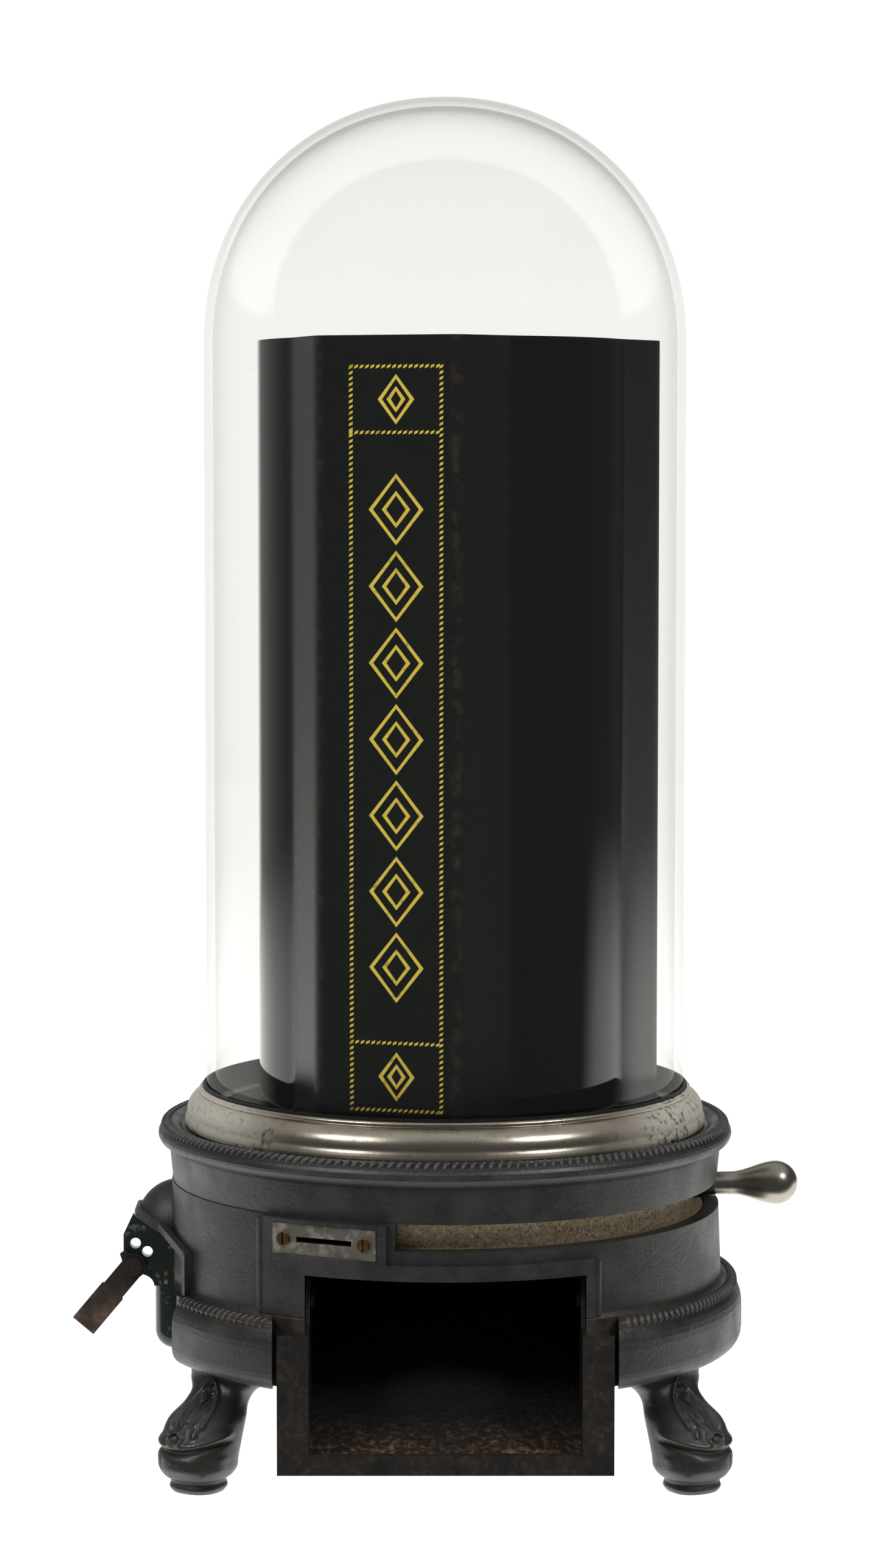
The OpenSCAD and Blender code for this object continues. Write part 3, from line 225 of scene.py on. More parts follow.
def speckledFinish(name):
    # dull drive ring: tan metal speckled with dark pits and pale dust
    made = Finish(name, rough=0.72)
    pits = made.band(made.noise(950, 3), 0.5, 0.66)
    dust = made.band(made.noise(700, 4), 0.5, 0.66)
    broad = made.noise(45, 4)
    colour = made.mix(broad, (0.25, 0.19, 0.112), (0.43, 0.345, 0.225))
    colour = made.mix(pits * 0.8, colour, (0.075, 0.055, 0.034))
    colour = made.mix(dust * 0.6, colour, (0.56, 0.49, 0.38))
    made.wear(colour=colour, metal=0.1, normal=made.bump(dust - pits, 0.35, 0.0004))
    return made.material


def japanFinish(name):
    # black japan: the drum is polished, the lobes are pebbled and duller, and bends are worn to rust
    made = Finish(name)
    lobe = made.attribute("lobe")
    worn = made.attribute("bend")
    pebble = made.noise(1500, 2)
    scratch = made.band(made.noise(40, 8, 0.8, (22.0, 22.0, 1.0)), 0.66, 0.7)
    chips = made.band(made.noise(210, 6, 0.7), 0.46, 0.6)
    base = made.mix(lobe, (0.0016, 0.0019, 0.0018), (0.0042, 0.0074, 0.0058))
    base = made.mix(scratch * 0.2, base, (0.022, 0.021, 0.019))
    base = made.mix(worn * chips * 0.9, base, (0.058, 0.03, 0.019))
    rough = 0.06 + lobe * 0.22 + scratch * 0.12 + worn * (0.2 + chips * 0.3)
    made.wear(colour=base, rough=rough, shine=0.55, normal=made.bump(pebble * lobe, 0.2, 0.0003))
    return made.material


def glassFinish(name):
    # clear blown glass: a film that mirrors more the more edge on it is seen, and lets the rest through
    made = Finish(name, rim=(0.55, 0.58, 0.54), rough=0.02, metal=1.0)
    edge = made.node("ShaderNodeLayerWeight", inputs={"Blend": 0.5}, out="Facing")
    crown = made.band(made.z, 0.4, 0.476)  # greyer and hazier towards the top
    colour = made.mix(crown, (0.82, 0.84, 0.81), (0.58, 0.6, 0.56))
    made.wear(colour=colour, alpha=0.05 + crown * 0.03 + edge ** 6 * (0.33 + crown * 0.45))
    return made.material


def enamelFinish(name):
    # glossy dark green enamel, chipped here and there
    made = Finish(name, shine=0.6)
    chips = made.band(made.noise(260, 5), 0.62, 0.7)
    cloud = made.noise(90, 5)
    colour = made.mix(cloud, (0.007, 0.016, 0.014), (0.016, 0.031, 0.027))
    colour = made.mix(chips * 0.5, colour, (0.14, 0.15, 0.13))
    made.wear(colour=colour, rough=0.14 + cloud * 0.12 + chips * 0.4)
    return made.material


def leverFinish(name):
    # flaking rust, paler brown towards the free end, with painted shade darkening it to near black towards
    # the pivot under the hood
    made = Finish(name)
    patch = made.band(made.noise(150, 7, 0.65), 0.42, 0.66)
    grit = made.noise(700, 4)
    # painted shade: the upper end, under the cutter's hood, fades to near black; the free end below it
    # stays pale rust
    end = made.band(made.z, 0.062, 0.046)
    pale = made.mix(patch, (0.05, 0.031, 0.023), (0.135, 0.086, 0.066))
    colour = made.mix(end * 0.85 + 0.1, (0.014, 0.0105, 0.0085), pale)
    made.wear(colour=colour, rough=0.66 + patch * 0.15, normal=made.bump(grit + patch, 0.5, 0.0007))
    return made.material


def trayFinish(name):
    # dark tray: painted shade near black inside, rust on the front flanges, the lip and the floor behind
    # it
    made = Finish(name)
    front = made.band(made.y, -0.068, -0.1)
    low = made.band(made.z, 0.04, 0.016)
    edge = made.band(made.y, -0.1005, -0.1022)
    patch = made.band(made.noise(95, 7, 0.68), 0.38, 0.64)
    grit = made.band(made.noise(520, 4), 0.46, 0.7)
    rust = made.mix(grit, (0.03, 0.016, 0.009), (0.24, 0.145, 0.08))
    flange = made.mix(patch * (0.25 + grit * 0.75), (0.0046, 0.0042, 0.0032), (0.036, 0.02, 0.0105))
    # painted shade: the tray's recessed inside is near black, with rust only on the floor at the front
    inside = made.mix(front * low * (0.4 + patch * 0.5), (0.0022, 0.002, 0.0018), rust)
    colour = made.mix(edge, inside, flange)
    made.wear(colour=colour, rough=0.66, normal=made.bump(grit + patch, 0.4, 0.0006))
    return made.material


def goldFinish(name):
    # gold transfer, rubbed thin in places
    made = Finish(name, rough=0.4)
    rubbed = made.band(made.noise(420, 4), 0.54, 0.74)
    made.wear(colour=made.mix(rubbed * 0.7, (0.8, 0.6, 0.075), (0.22, 0.165, 0.028)), metal=0.1)
    return made.material


def plainFinish(name, colour, rough):
    return Finish(name, colour=colour, rough=rough).material


iron = ironFinish("wornIron")
# painted highlight: the ribs wear the same iron made about three times paler, standing in for the shine on
# the beading
ribIronPaintedHighlight = ironFinish("ribIronPaintedHighlight", paintedGapShade=False, dark=(0.032, 0.034, 0.033), pale=(0.06, 0.062, 0.058))
carvedIron = ironFinish("carvedIron", relief=True, paintedGapShade=False)
nickel = nickelFinish("agedNickel", (0.6, 0.54, 0.45), (0.42, 0.37, 0.3), 1.0)
knobNickel = nickelFinish("knobNickel", (0.48, 0.45, 0.39), (0.34, 0.31, 0.265), 0.0)
steel = plainMetal("dullSteel", (0.3, 0.29, 0.27), 0.4)
nickelSilver = plainMetal("nickelSilver", (0.54, 0.5, 0.43), 0.42, (0.13, 0.11, 0.085), 0.6)
tarnishedBrass = plainMetal("tarnishedBrass", (0.2, 0.125, 0.055), 0.5, (0.075, 0.04, 0.02), 0.9)
speckled = speckledFinish("speckledRing")
japan = japanFinish("blackJapan")
clearGlass = glassFinish("domeGlass")
enamel = enamelFinish("greenEnamel")
leverRustAndShade = leverFinish("leverRustAndShade")
trayIron = trayFinish("trayIron")
gold = goldFinish("goldTransfer")
dullSheet = plainFinish("dullSheet", (0.03, 0.031, 0.03), 0.55)
sealRubber = plainFinish("sealRubber", (0.006, 0.006, 0.006), 0.6)

slotFinish = {"iron": iron, "tray_iron": trayIron, "steel": steel, "nickel": nickel, "sheet": dullSheet,
              "nickel_silver": nickelSilver, "worn_brass": speckled, "brass": tarnishedBrass,
              "japanned": japan, "glass": clearGlass, "seal": sealRubber, "green_enamel": enamel,
              "rusty_iron": leverRustAndShade}
# the pivot pin takes the lever's finish, so the painted shade at the pivot darkens it too
nodeFinish = {"cutter_pivot": leverRustAndShade, "tray_screws": trayIron}
for entry in frame["record"]["subparts"]:
    for place in frame["nodes"][entry["node"]].material_slots:
        place.material = nodeFinish.get(entry["node"], slotFinish[entry["material_slot"]])
print("finishes made and put on the CAD nodes")


# Mesh helpers: whole arrays in, one object out

def quads(rows, columns, wrapRows=False, wrapColumns=False):
    # corner numbers of a grid of points numbered row by row
    r = np.arange(rows if wrapRows else rows - 1)[:, None]
    c = np.arange(columns if wrapColumns else columns - 1)[None, :]
    r2, c2 = (r + 1) % rows, (c + 1) % columns
    corners = [r * columns + c, r * columns + c2, r2 * columns + c2, r2 * columns + c]
    return np.stack(np.broadcast_arrays(*corners), -1).reshape(-1, 4)


def put(name, points, faces, material, body, weld=False, smooth=True):
    # points in mm become one mesh object that rides on a body
    mesh = bpy.data.meshes.new(name)
    faces = faces if isinstance(faces, list) else np.asarray(faces).tolist()
    mesh.from_pydata((np.asarray(points) * mm).tolist(), [], faces)
    if weld:
        built = bmesh.new()
        built.from_mesh(mesh)
        bmesh.ops.remove_doubles(built, verts=built.verts, dist=1e-7)
        bmesh.ops.recalc_face_normals(built, faces=built.faces)
        built.to_mesh(mesh)
        built.free()
    mesh.polygons.foreach_set("use_smooth", np.full(len(mesh.polygons), smooth))
    mesh.materials.append(material)
    mesh.update()
    made = bpy.data.objects.new(name, mesh)
    bpy.context.scene.collection.objects.link(made)
    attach(made, body)
    return made


def creased(made, degrees):
    # keep edges sharper than this angle crisp
    made.data.set_sharp_from_angle(angle=math.radians(degrees))
    return made


def turned(name, profile, material, body, steps, degrees):
    # profile of (radius, height) points, closed on itself, carried once round the axis
    profile = np.asarray(profile, float)
    angle = np.linspace(0, 2 * np.pi, steps, endpoint=False)
    r, z = profile[:, 0][None, :], profile[:, 1][None, :]
    places = [r * np.cos(angle)[:, None], r * np.sin(angle)[:, None], z]
    points = np.stack(np.broadcast_arrays(*places), -1).reshape(-1, 3)
    faces = quads(steps, len(profile), True, True)
    return creased(put(name, points, faces, material, body, weld=True), degrees)


def repeated(points, faces, turns, places):
    # one small shape set down many times: turns is k 3x3 matrices, places k origins
    many = np.einsum("kij,nj->kni", turns, points) + places[:, None, :]
    shift = (np.arange(len(places)) * len(points))[:, None, None]
    return many.reshape(-1, 3), (faces[None] + shift).reshape(-1, faces.shape[1])


def roundAxis(azimuth):
    # columns are outward, sideways and up at an azimuth counted from the front towards the right
    a = np.radians(np.atleast_1d(azimuth))
    zero, one = np.zeros_like(a), np.ones_like(a)
    outward = np.stack([np.sin(a), -np.cos(a), zero], -1)
    sideways = np.stack([np.cos(a), np.sin(a), zero], -1)
    return np.stack([outward, sideways, np.stack([zero, zero, one], -1)], -1)


def smoothStep(value, low, high):
    t = np.clip((value - low) / (high - low), 0, 1)
    return t * t * (3 - 2 * t)


def throughKeys(spot, keys, values):
    # Catmull-Rom curve through key values: cubic between neighbours, slopes from their differences
    keys, values = np.asarray(keys, float), np.asarray(values, float)
    slopes = np.gradient(values, keys)
    i = np.clip(np.searchsorted(keys, spot, "right") - 1, 0, len(keys) - 2)
    h = keys[i + 1] - keys[i]
    t = (spot - keys[i]) / h
    return ((2 * t**3 - 3 * t**2 + 1) * values[i] + (t**3 - 2 * t**2 + t) * h * slopes[i]
            + (3 * t**2 - 2 * t**3) * values[i + 1] + (t**3 - t**2) * h * slopes[i + 1])


# Glass dome: straight wall and a crown whose radius and height follow a squared-off ellipse

dome = {"radius": 84.8, "wall": 3.2, "rise": 86.0, "power": 2.08, "steps": 48, "around": 160,
        "rings": 5, "firstRing": 2.2, "pastSpring": 1.0, "lipSteps": 7, "crease": 60}


def domeGlass():
    foot, apex = nodeFoot("glass_dome"), nodeTop("glass_dome")
    spring = apex - dome["rise"]
    s = np.sin(np.linspace(0, np.pi / 2, dome["steps"]))
    share = (1 - s ** dome["power"]) ** (1 / dome["power"])
    inner = dome["radius"] - dome["wall"]
    outside = np.stack([dome["radius"] * share, spring + dome["rise"] * s], -1)
    inside = np.stack([inner * share, spring + (dome["rise"] - dome["wall"]) * s], -1)
    walls = np.linspace(foot + dome["firstRing"], spring + dome["pastSpring"], dome["rings"] + 1)[:-1]
    lip = np.radians(np.linspace(0, 180, dome["lipSteps"]))
    half = dome["wall"] / 2
    rim = np.stack([inner + half - half * np.cos(lip), foot + half - half * np.sin(lip)], -1)
    outerWall = np.stack([np.full(dome["rings"], dome["radius"]), walls], -1)
    innerWall = np.stack([np.full(dome["rings"], inner), walls[::-1]], -1)
    profile = np.concatenate([rim, outerWall, outside, inside[::-1], innerWall])
    return turned("domeGlass", profile, clearGlass, "dome", dome["around"], dome["crease"])


glass = domeGlass()
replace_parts(glass, "glass_dome")


# Collar: foot bead, shallow waist and broad shoulder in one curve, then a crease and a rolled lip

collar = {"lip": 87.4, "bore": 86.2, "ledge": 80.0, "spigot": 89.7, "spigotIn": 86.0, "drop": 4.0,
          "height": [0, 0.5, 1.7, 3.3, 4.7, 6.0, 7.8, 9.4, 10.7, 11.5],
          "radius": [91.3, 92.1, 92.6, 92.3, 91.8, 91.75, 91.3, 90.4, 89.2, 88.1],
          "lipRound": 1.1, "lipFrom": -50, "lipSteps": 10, "glassSeat": 6.0, "ledgeDrop": 1.0,
          "steps": 40, "around": 192, "crease": 40}


def collarRing():
    c = collar
    top, seat = nodeTop("dome_collar"), nodeFoot("dome_collar") + c["drop"]
    z = np.linspace(0, c["height"][-1], c["steps"])
    roll = np.stack([throughKeys(z, c["height"], c["radius"]), seat + z], -1)
    turn = np.radians(np.linspace(c["lipFrom"], 90, c["lipSteps"]))
    lip = np.stack([c["lip"] - c["lipRound"] * (1 - np.cos(turn)),
                    top - c["lipRound"] * (1 - np.sin(turn))], -1)
    inside = [[c["bore"], top], [c["bore"], seat + c["glassSeat"]], [c["ledge"], seat + c["glassSeat"]],
              [c["ledge"], seat - c["ledgeDrop"]], [c["spigotIn"], seat - c["drop"]],
              [c["spigot"], seat - c["drop"]], [c["spigot"], seat]]
    profile = np.concatenate([roll, lip, inside])
    return turned("collarRing", profile, nickel, "dome", c["around"], c["crease"])


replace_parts(collarRing(), "dome_collar")


# Rows of small ribs: an egg-shaped rib, tilted with the surface, set round a circle

ribGrid = {"up": 7, "around": 10}


def ribRow(name, azimuths, height, size):
    # egg: two angles on a ball, scaled to the rib's half sizes, twisted about the outward
    # direction, then leaned inward by the tilt
    up = np.radians(np.linspace(-90, 90, ribGrid["up"]))[:, None]
    about = np.radians(np.linspace(0, 360, ribGrid["around"], endpoint=False))[None, :]
    egg = [np.cos(up) * np.cos(about), np.cos(up) * np.sin(about), np.sin(up)]
    egg = np.stack(np.broadcast_arrays(*egg), -1).reshape(-1, 3) * size["half"]
    c, s = math.cos(math.radians(size["twist"])), math.sin(math.radians(size["twist"]))
    egg = egg @ np.array([[1, 0, 0], [0, c, -s], [0, s, c]])
    c, s = math.cos(math.radians(size["tilt"])), math.sin(math.radians(size["tilt"]))
    egg = egg @ np.array([[c, 0, s], [0, 1, 0], [-s, 0, c]])
    axes = roundAxis(azimuths)
    places = axes[:, :, 0] * size["radius"] + np.array([0, 0, height])
    grid = quads(ribGrid["up"], ribGrid["around"], False, True)
    points, faces = repeated(egg, grid, axes, places)
    return put(name, points, faces, ribIronPaintedHighlight, "base", weld=True)


crest = nodeTop("top_ring")
ribAt = np.arange(flangeRibs["count"]) * 360.0 / flangeRibs["count"]
ribRow("flangeBeading", ribAt, crest - flangeRibs["below"], flangeRibs)

ribAt = np.arange(ropeRibs["count"]) * 360.0 / ropeRibs["count"] - 180.0
ribAt = ribAt[(np.abs(ribAt) > ropeRibs["frontGap"]) & (np.abs(ribAt + 90.0) > ropeRibs["cutterGap"])]
ribRow("skirtRope", ribAt, ropeRibs["height"], ropeRibs)
print("glass, collar and beading made")


# Paw feet: superellipse sections up the leg, pushed out by a pointed leaf, an eye and toes

paw = {
    "bolt": 87.0,
    "height": [0, 1.2, 4.4, 5.2, 7.5, 11.2, 16, 20, 24, 28.6, 32, 35, 37, 39],
    "out": [21, 21, 21, 21, 21, 21, 19.6, 18, 15.4, 9.6, 5.4, 2.4, 1.6, 1.5],
    "reach": [8.2, 9.2, 9.5, 10.6, 12.4, 13, 13.1, 13, 12.2, 9.8, 9.4, 10.3, 10.5, 10.7],
    "width": [8.4, 9.3, 9.5, 10.6, 12.4, 13, 13.2, 13.2, 12.8, 10.8, 10.9, 13.2, 13.6, 13.8],
    "squareness": 2.4, "around": 220, "up": 200, "crease": 50, "ear": 6.5, "earFrom": 29.0,
    "fore": (-0.05, 0.4),
    "leafFoot": 23.0, "leafTip": 38.6, "leafHalf": 6.6, "leafCurve": 1.7, "leafBlend": 1.0,
    "rim": 1.2, "rimInset": 0.5, "rimWidth": 0.8, "bladeEdge": (0.8, 2.2), "bladeDrop": 0.2,
    "midrib": 0.8, "midribWidth": 0.8, "vein": 0.5, "veinPitch": (0.2, 0.26),
    "balls": ((0.5, 30.6, 1.5), (-3.6, 27.2, 1.1), (-5.2, 24.2, 1.0), (4.4, 27.6, 1.1)), "ballHeight": 1.2,
    "tendons": (-3.4, 0.4, 4.6), "tendonHeight": 1.0, "tendonWidth": 1.0, "tendonFoot": (18.5, 21),
    "tendonHead": (27, 30), "fanFrom": 28, "fan": 0.035,
    # height or depth, then distance where there is one, then width
    "eye": (2.4, 19.4), "eyeSquash": 1.35, "eyeRing": (1.3, 2.7, 0.8), "eyeHollow": (0.7, 1.4),
    "brow": (14.8, -0.1, 0.012), "browRoll": (1.0, 2.3, 1.4), "browCrease": (1.2, 0.9),
    "toes": 2.3, "toeHeight": 1.1, "toeFoot": (6.5, 9.0), "toeHead": (12.5, 14.5), "toeSunk": 0.6,
    # name, node, azimuth of the bolt, azimuth that the toes face, and 1 or -1 for the mirrored one
    "legs": (("leftPaw", "foot_left", -58, -31, -1), ("rightPaw", "foot_right", 58, 31, 1),
             ("rearPaw", "foot_rear", 180, 180, 1)),
}


def pawCarving(side, z, theta):
    # heights in mm, as sums of bell-shaped ridges: exp of minus the squared distance over a width
    def ridge(distance, width):
        return np.exp(-(distance / width) ** 2)

    p = paw
    fore = smoothStep(np.cos(theta), *p["fore"])
    # leaf: a pointed arch with a raised rim, a midrib and slanting veins
    q = np.clip((z - p["leafFoot"]) / (p["leafTip"] - p["leafFoot"]), 0, 1)
    inset = p["leafHalf"] * (1 - q ** p["leafCurve"]) - np.abs(side)
    lies = smoothStep(z, p["leafFoot"] - p["leafBlend"], p["leafFoot"] + p["leafBlend"])
    upward, outward = p["veinPitch"]
    veins = p["vein"] * np.cos(2 * np.pi * (z * upward - np.abs(side) * outward))
    blade = p["midrib"] * ridge(side, p["midribWidth"]) + veins - p["bladeDrop"]
    blade = smoothStep(inset, *p["bladeEdge"]) * blade
    carved = lies * (p["rim"] * ridge(inset - p["rimInset"], p["rimWidth"]) + blade)
    for x, level, size in p["balls"]:
        carved = carved + p["ballHeight"] * ridge(np.hypot(side - x, z - level), size)
    # tendons that fan out from the leaf to the toes
    span = smoothStep(z, *p["tendonFoot"]) * (1 - smoothStep(z, *p["tendonHead"]))
    for x in p["tendons"]:
        fanned = x * (1 + (p["fanFrom"] - z) * p["fan"])
        carved = carved + span * p["tendonHeight"] * ridge(side - fanned, p["tendonWidth"])
    # eye: a ring round a hollow
    x, level = p["eye"]
    apart = np.hypot(side - x, (z - level) * p["eyeSquash"])
    height, radius, width = p["eyeRing"]
    carved = carved + height * ridge(apart - radius, width)
    depth, width = p["eyeHollow"]
    carved = carved - depth * ridge(apart, width)
    # brow: a roll over a crease that dips towards the outer side
    level, slope, bow = p["brow"]
    brow = level + slope * side + bow * side ** 2
    height, above, width = p["browRoll"]
    carved = carved + height * ridge(z - brow - above, width)
    depth, width = p["browCrease"]
    carved = carved - depth * ridge(z - brow, width)
    # toes: rounded swellings below the brow, with clefts between them
    belt = smoothStep(z, *p["toeFoot"]) * (1 - smoothStep(z, *p["toeHead"]))
    carved = carved + p["toeHeight"] * belt * (np.abs(np.cos(p["toes"] * theta)) ** 0.5 - p["toeSunk"])
    return carved * fore


def pawFoot(name, node, azimuth, facing, mirror):
    # section at height z: reach and width times cosine and sine to a power, moved outward, then swelled
    # by the carving's height over its distance from the middle
    z = np.linspace(0, paw["height"][-1], paw["up"])[:, None]
    theta = np.linspace(-np.pi, np.pi, paw["around"], endpoint=False)[None, :]
    out, reach, width = (throughKeys(z, paw["height"], paw[key]) for key in ("out", "reach", "width"))
    power = 2 / paw["squareness"]
    c, s = np.cos(theta), np.sin(theta)
    ahead = reach * np.sign(c) * np.abs(c) ** power
    side = width * np.sign(s) * np.abs(s) ** power
    # ears: front legs sweep out to the skirt on the tray's side in a hollow curve, the rear leg on both
    rise = np.clip((z - paw["earFrom"]) / (paw["height"][-1] - paw["earFrom"]), 0, 1)
    sweeps = (s * mirror < 0) | (facing == 180)
    side = side + paw["ear"] * rise ** 2 * s * sweeps
    carved = pawCarving(side * mirror, z, theta * mirror)
    swell = 1 + carved / np.maximum(np.hypot(ahead, side), 1.0)
    places = np.broadcast_arrays(out + ahead * swell, side * swell, z)
    shape = np.stack(places, -1).reshape(-1, 3)
    caps = np.array([[paw["out"][0], 0, 0], [paw["out"][-1], 0, paw["height"][-1]]])
    count = len(shape)
    ring = np.arange(paw["around"])
    last = count - paw["around"]
    sole = np.stack([np.full_like(ring, count), np.roll(ring, -1), ring], -1)
    head = np.stack([np.full_like(ring, count + 1), last + ring, last + np.roll(ring, -1)], -1)
    stand = roundAxis(azimuth)[0][:, 0] * paw["bolt"]
    points = np.concatenate([shape, caps]) @ roundAxis(facing)[0].T + stand
    faces = quads(paw["up"], paw["around"], False, True).tolist() + sole.tolist() + head.tolist()
    made = put(name, points, faces, carvedIron, "base")
    relief = np.concatenate([carved.reshape(-1), [0, 0]]).astype(np.float32)
    made.data.attributes.new("relief", "FLOAT", "POINT").data.foreach_set("value", relief)
    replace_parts(made, node)
    return creased(made, paw["crease"])


for leg in paw["legs"]:
    pawFoot(*leg)
print("paw feet made")


# Turret skin: drum with flat-faced lobes, the outline rounded by a running mean along its length

turret = {"drum": 66.0, "face": 72.0, "half": 24.7, "spread": 0.766, "sheet": 0.9, "azimuth": -16.0,
          "lobes": 3, "samples": 1200, "bendRadius": 2.2, "arcSteps": 40, "crease": 40,
          "proud": (0.05, 0.7), "sunk": (0.15, 0.8), "wearGain": 5.0, "wearFrom": 0.25}


def turretOutline():
    # one third of the outline, from one lobe's middle to the next one's, is straight runs and an arc
    a, b, k = turret["face"], turret["half"], turret["spread"]
    # depth at which a lobe's slanting side meets the drum: the smaller root of a quadratic
    q = 1 + k * k
    m = a - k * b
    depth = (m - math.sqrt(m * m - q * (a * a + b * b - turret["drum"] ** 2))) / q
    meet = math.atan2(b + k * depth, a - depth)
    third = 2 * math.pi / turret["lobes"]
    arc = np.linspace(meet, third - meet, turret["arcSteps"])
    corner = np.array([[a, 0], [a, b]])
    drum = turret["drum"] * np.stack([np.cos(arc), np.sin(arc)], -1)
    turn = np.array([[math.cos(third), -math.sin(third)], [math.sin(third), math.cos(third)]])
    run = np.concatenate([corner, drum, corner[::-1][:1] * [1, -1] @ turn.T])
    return np.concatenate([run @ np.linalg.matrix_power(turn, i).T for i in range(turret["lobes"])])


def turretSkin():
    path = turretOutline()
    closed = np.concatenate([path, path[:1]])
    run = np.concatenate([[0], np.cumsum(np.hypot(*np.diff(closed, axis=0).T))])
    n = turret["samples"]
    along = np.linspace(0, run[-1], n, endpoint=False)
    line = np.interp(along, run, closed[:, 0]) + 1j * np.interp(along, run, closed[:, 1])
    # running mean with a bell weight, done in the frequency domain because the outline is closed
    waves = np.fft.fftfreq(n, run[-1] / n)
    soft = np.fft.ifft(np.fft.fft(line) * np.exp(-2 * (np.pi * waves * turret["bendRadius"]) ** 2))
    ahead = np.roll(soft, -1) - np.roll(soft, 1)
    heading = ahead / np.abs(ahead)
    bend = np.abs(np.angle(np.roll(heading, -1) / np.roll(heading, 1))) / (2 * run[-1] / n)
    inner = soft + 1j * heading * turret["sheet"]
    foot, top = nodeFoot("turret_shell"), nodeTop("turret_shell")
    turnBy = math.radians(turret["azimuth"] - 90)
    rings = np.array([soft, soft, inner, inner]) * np.exp(1j * turnBy)
    places = [rings.real, rings.imag, np.array([foot, top, top, foot])[:, None]]
    points = np.stack(np.broadcast_arrays(*places), -1).reshape(-1, 3)
    made = put("turretSkin", points, quads(4, n, True, True), japan, "turret")
    # a lobe is what stands proud of the drum, or is sunk below it
    past = np.abs(soft) - turret["drum"]
    isLobe = np.maximum(smoothStep(past, *turret["proud"]), smoothStep(-past, *turret["sunk"]))
    worn = np.clip(bend * turret["wearGain"] - turret["wearFrom"], 0, 1)
    for label, values in (("lobe", isLobe), ("bend", worn)):
        layer = made.data.attributes.new(label, "FLOAT", "POINT")
        layer.data.foreach_set("value", np.tile(values, 4).astype(np.float32))
    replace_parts(made, "turret_shell")
    return creased(made, turret["crease"])


skin = turretSkin()


# Gold transfer on each lobe: a roped border with two bars across, and plain lozenges

transfer = {"half": 15.8, "shift": 3.4, "foot": 132.0, "top": 383.0, "lowBar": 155.0, "highBar": 361.0,
            "pitch": 1.9, "dash": (1.5, 0.8), "slant": 0.6, "taper": 0.5, "lift": 0.06, "line": 1.15,
            "lozenges": 7, "lozengeHalf": (9.6, 12.0), "smallHalf": (6.4, 8.4), "shares": (1.0, 0.52),
            "slantedLine": 1.35}


def transferSheet():
    t = transfer
    left, right = t["shift"] - t["half"], t["shift"] + t["half"]
    # dashes: slanted four-sided flakes along the border lines
    upright = np.arange(t["foot"], t["top"], t["pitch"])
    across = np.arange(left, right + 0.01, t["pitch"])
    spots = [np.stack([np.full_like(upright, x), upright], -1) for x in (left, right)]
    bars = (t["foot"], t["lowBar"], t["highBar"], t["top"])
    spots += [np.stack([across, np.full_like(across, z)], -1) for z in bars]
    spots = np.concatenate(spots)
    length, width = t["dash"]
    short = width * t["slant"]
    flake = np.array([[-width, -length / 2], [short, t["taper"] - length / 2],
                      [width, length / 2], [-short, length / 2 - t["taper"]]])
    flakes = (spots[:, None, :] + flake[None]).reshape(-1, 2)
    flat = [flakes]
    faces = [np.arange(len(flakes)).reshape(-1, 4)]
    # lozenges: a diamond outline, drawn twice, one inside the other
    centres = [(t["shift"], z) for z in np.linspace(t["lowBar"], t["highBar"], t["lozenges"] + 2)[1:-1]]
    sizes = [t["lozengeHalf"]] * t["lozenges"]
    for z in ((t["foot"] + t["lowBar"]) / 2, (t["highBar"] + t["top"]) / 2):
        centres.append((t["shift"], z))
        sizes.append(t["smallHalf"])
    diamond = np.array([[1, 0], [0, 1], [-1, 0], [0, -1]])
    count = len(flakes)
    i = np.arange(4)
    for middle, size in zip(centres, sizes):
        for share in t["shares"]:
            half = np.array(size) * share
            outer = middle + diamond * half
            inner = middle + diamond * (half - t["line"] * t["slantedLine"])
            flat.append(np.concatenate([outer, inner]))
            faces.append(count + np.stack([i, (i + 1) % 4, 4 + (i + 1) % 4, 4 + i], -1))
            count += 8
    flat, faces = np.concatenate(flat), np.concatenate(faces)
    spread = np.stack([np.full(len(flat), turret["face"] + t["lift"]), flat[:, 0], flat[:, 1]], -1)
    turns = roundAxis(turret["azimuth"] + np.arange(turret["lobes"]) * 360.0 / turret["lobes"])
    points, faces = repeated(spread, faces, turns, np.zeros((turret["lobes"], 3)))
    return put("goldTransfer", points, faces, gold, "turret", smooth=False)


transferSheet()
print("turret skin and transfer made")


# Lever knob: straight neck, smooth swell and a round end, turned about the lever's own axis

knob = {"azimuth": 94.0, "height": 93.3, "start": 88.8, "neck": 4.1, "swellFrom": 103.0, "belly": 7.8,
        "tip": 127.0, "swellSteps": 24, "endSteps": 14, "around": 64, "crease": 40}


def leverKnob():
    k = knob
    bellyAt = k["tip"] - k["belly"]
    t = np.linspace(0, 1, k["swellSteps"])
    swell = np.stack([k["swellFrom"] + (bellyAt - k["swellFrom"]) * t,
                      k["neck"] + (k["belly"] - k["neck"]) * smoothStep(t, 0, 1)], -1)
    a = np.radians(np.linspace(0, 90, k["endSteps"]))[1:]
    end = np.stack([bellyAt + k["belly"] * np.sin(a), k["belly"] * np.cos(a)], -1)
    profile = np.concatenate([[[k["start"], 0.0], [k["start"], k["neck"]]], swell, end])
    angle = np.linspace(0, 2 * np.pi, k["around"], endpoint=False)[:, None]
    run, radius = profile.T[:, None, :]
    local = np.stack(np.broadcast_arrays(run, radius * np.cos(angle), radius * np.sin(angle)), -1)
    points = local.reshape(-1, 3) @ roundAxis(k["azimuth"])[0].T + [0, 0, k["height"]]
    faces = quads(k["around"], len(profile), True, False)
    made = put("leverKnob", points, faces, knobNickel, "drive", weld=True)
    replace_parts(made, "lever_knob")
    return creased(made, k["crease"])


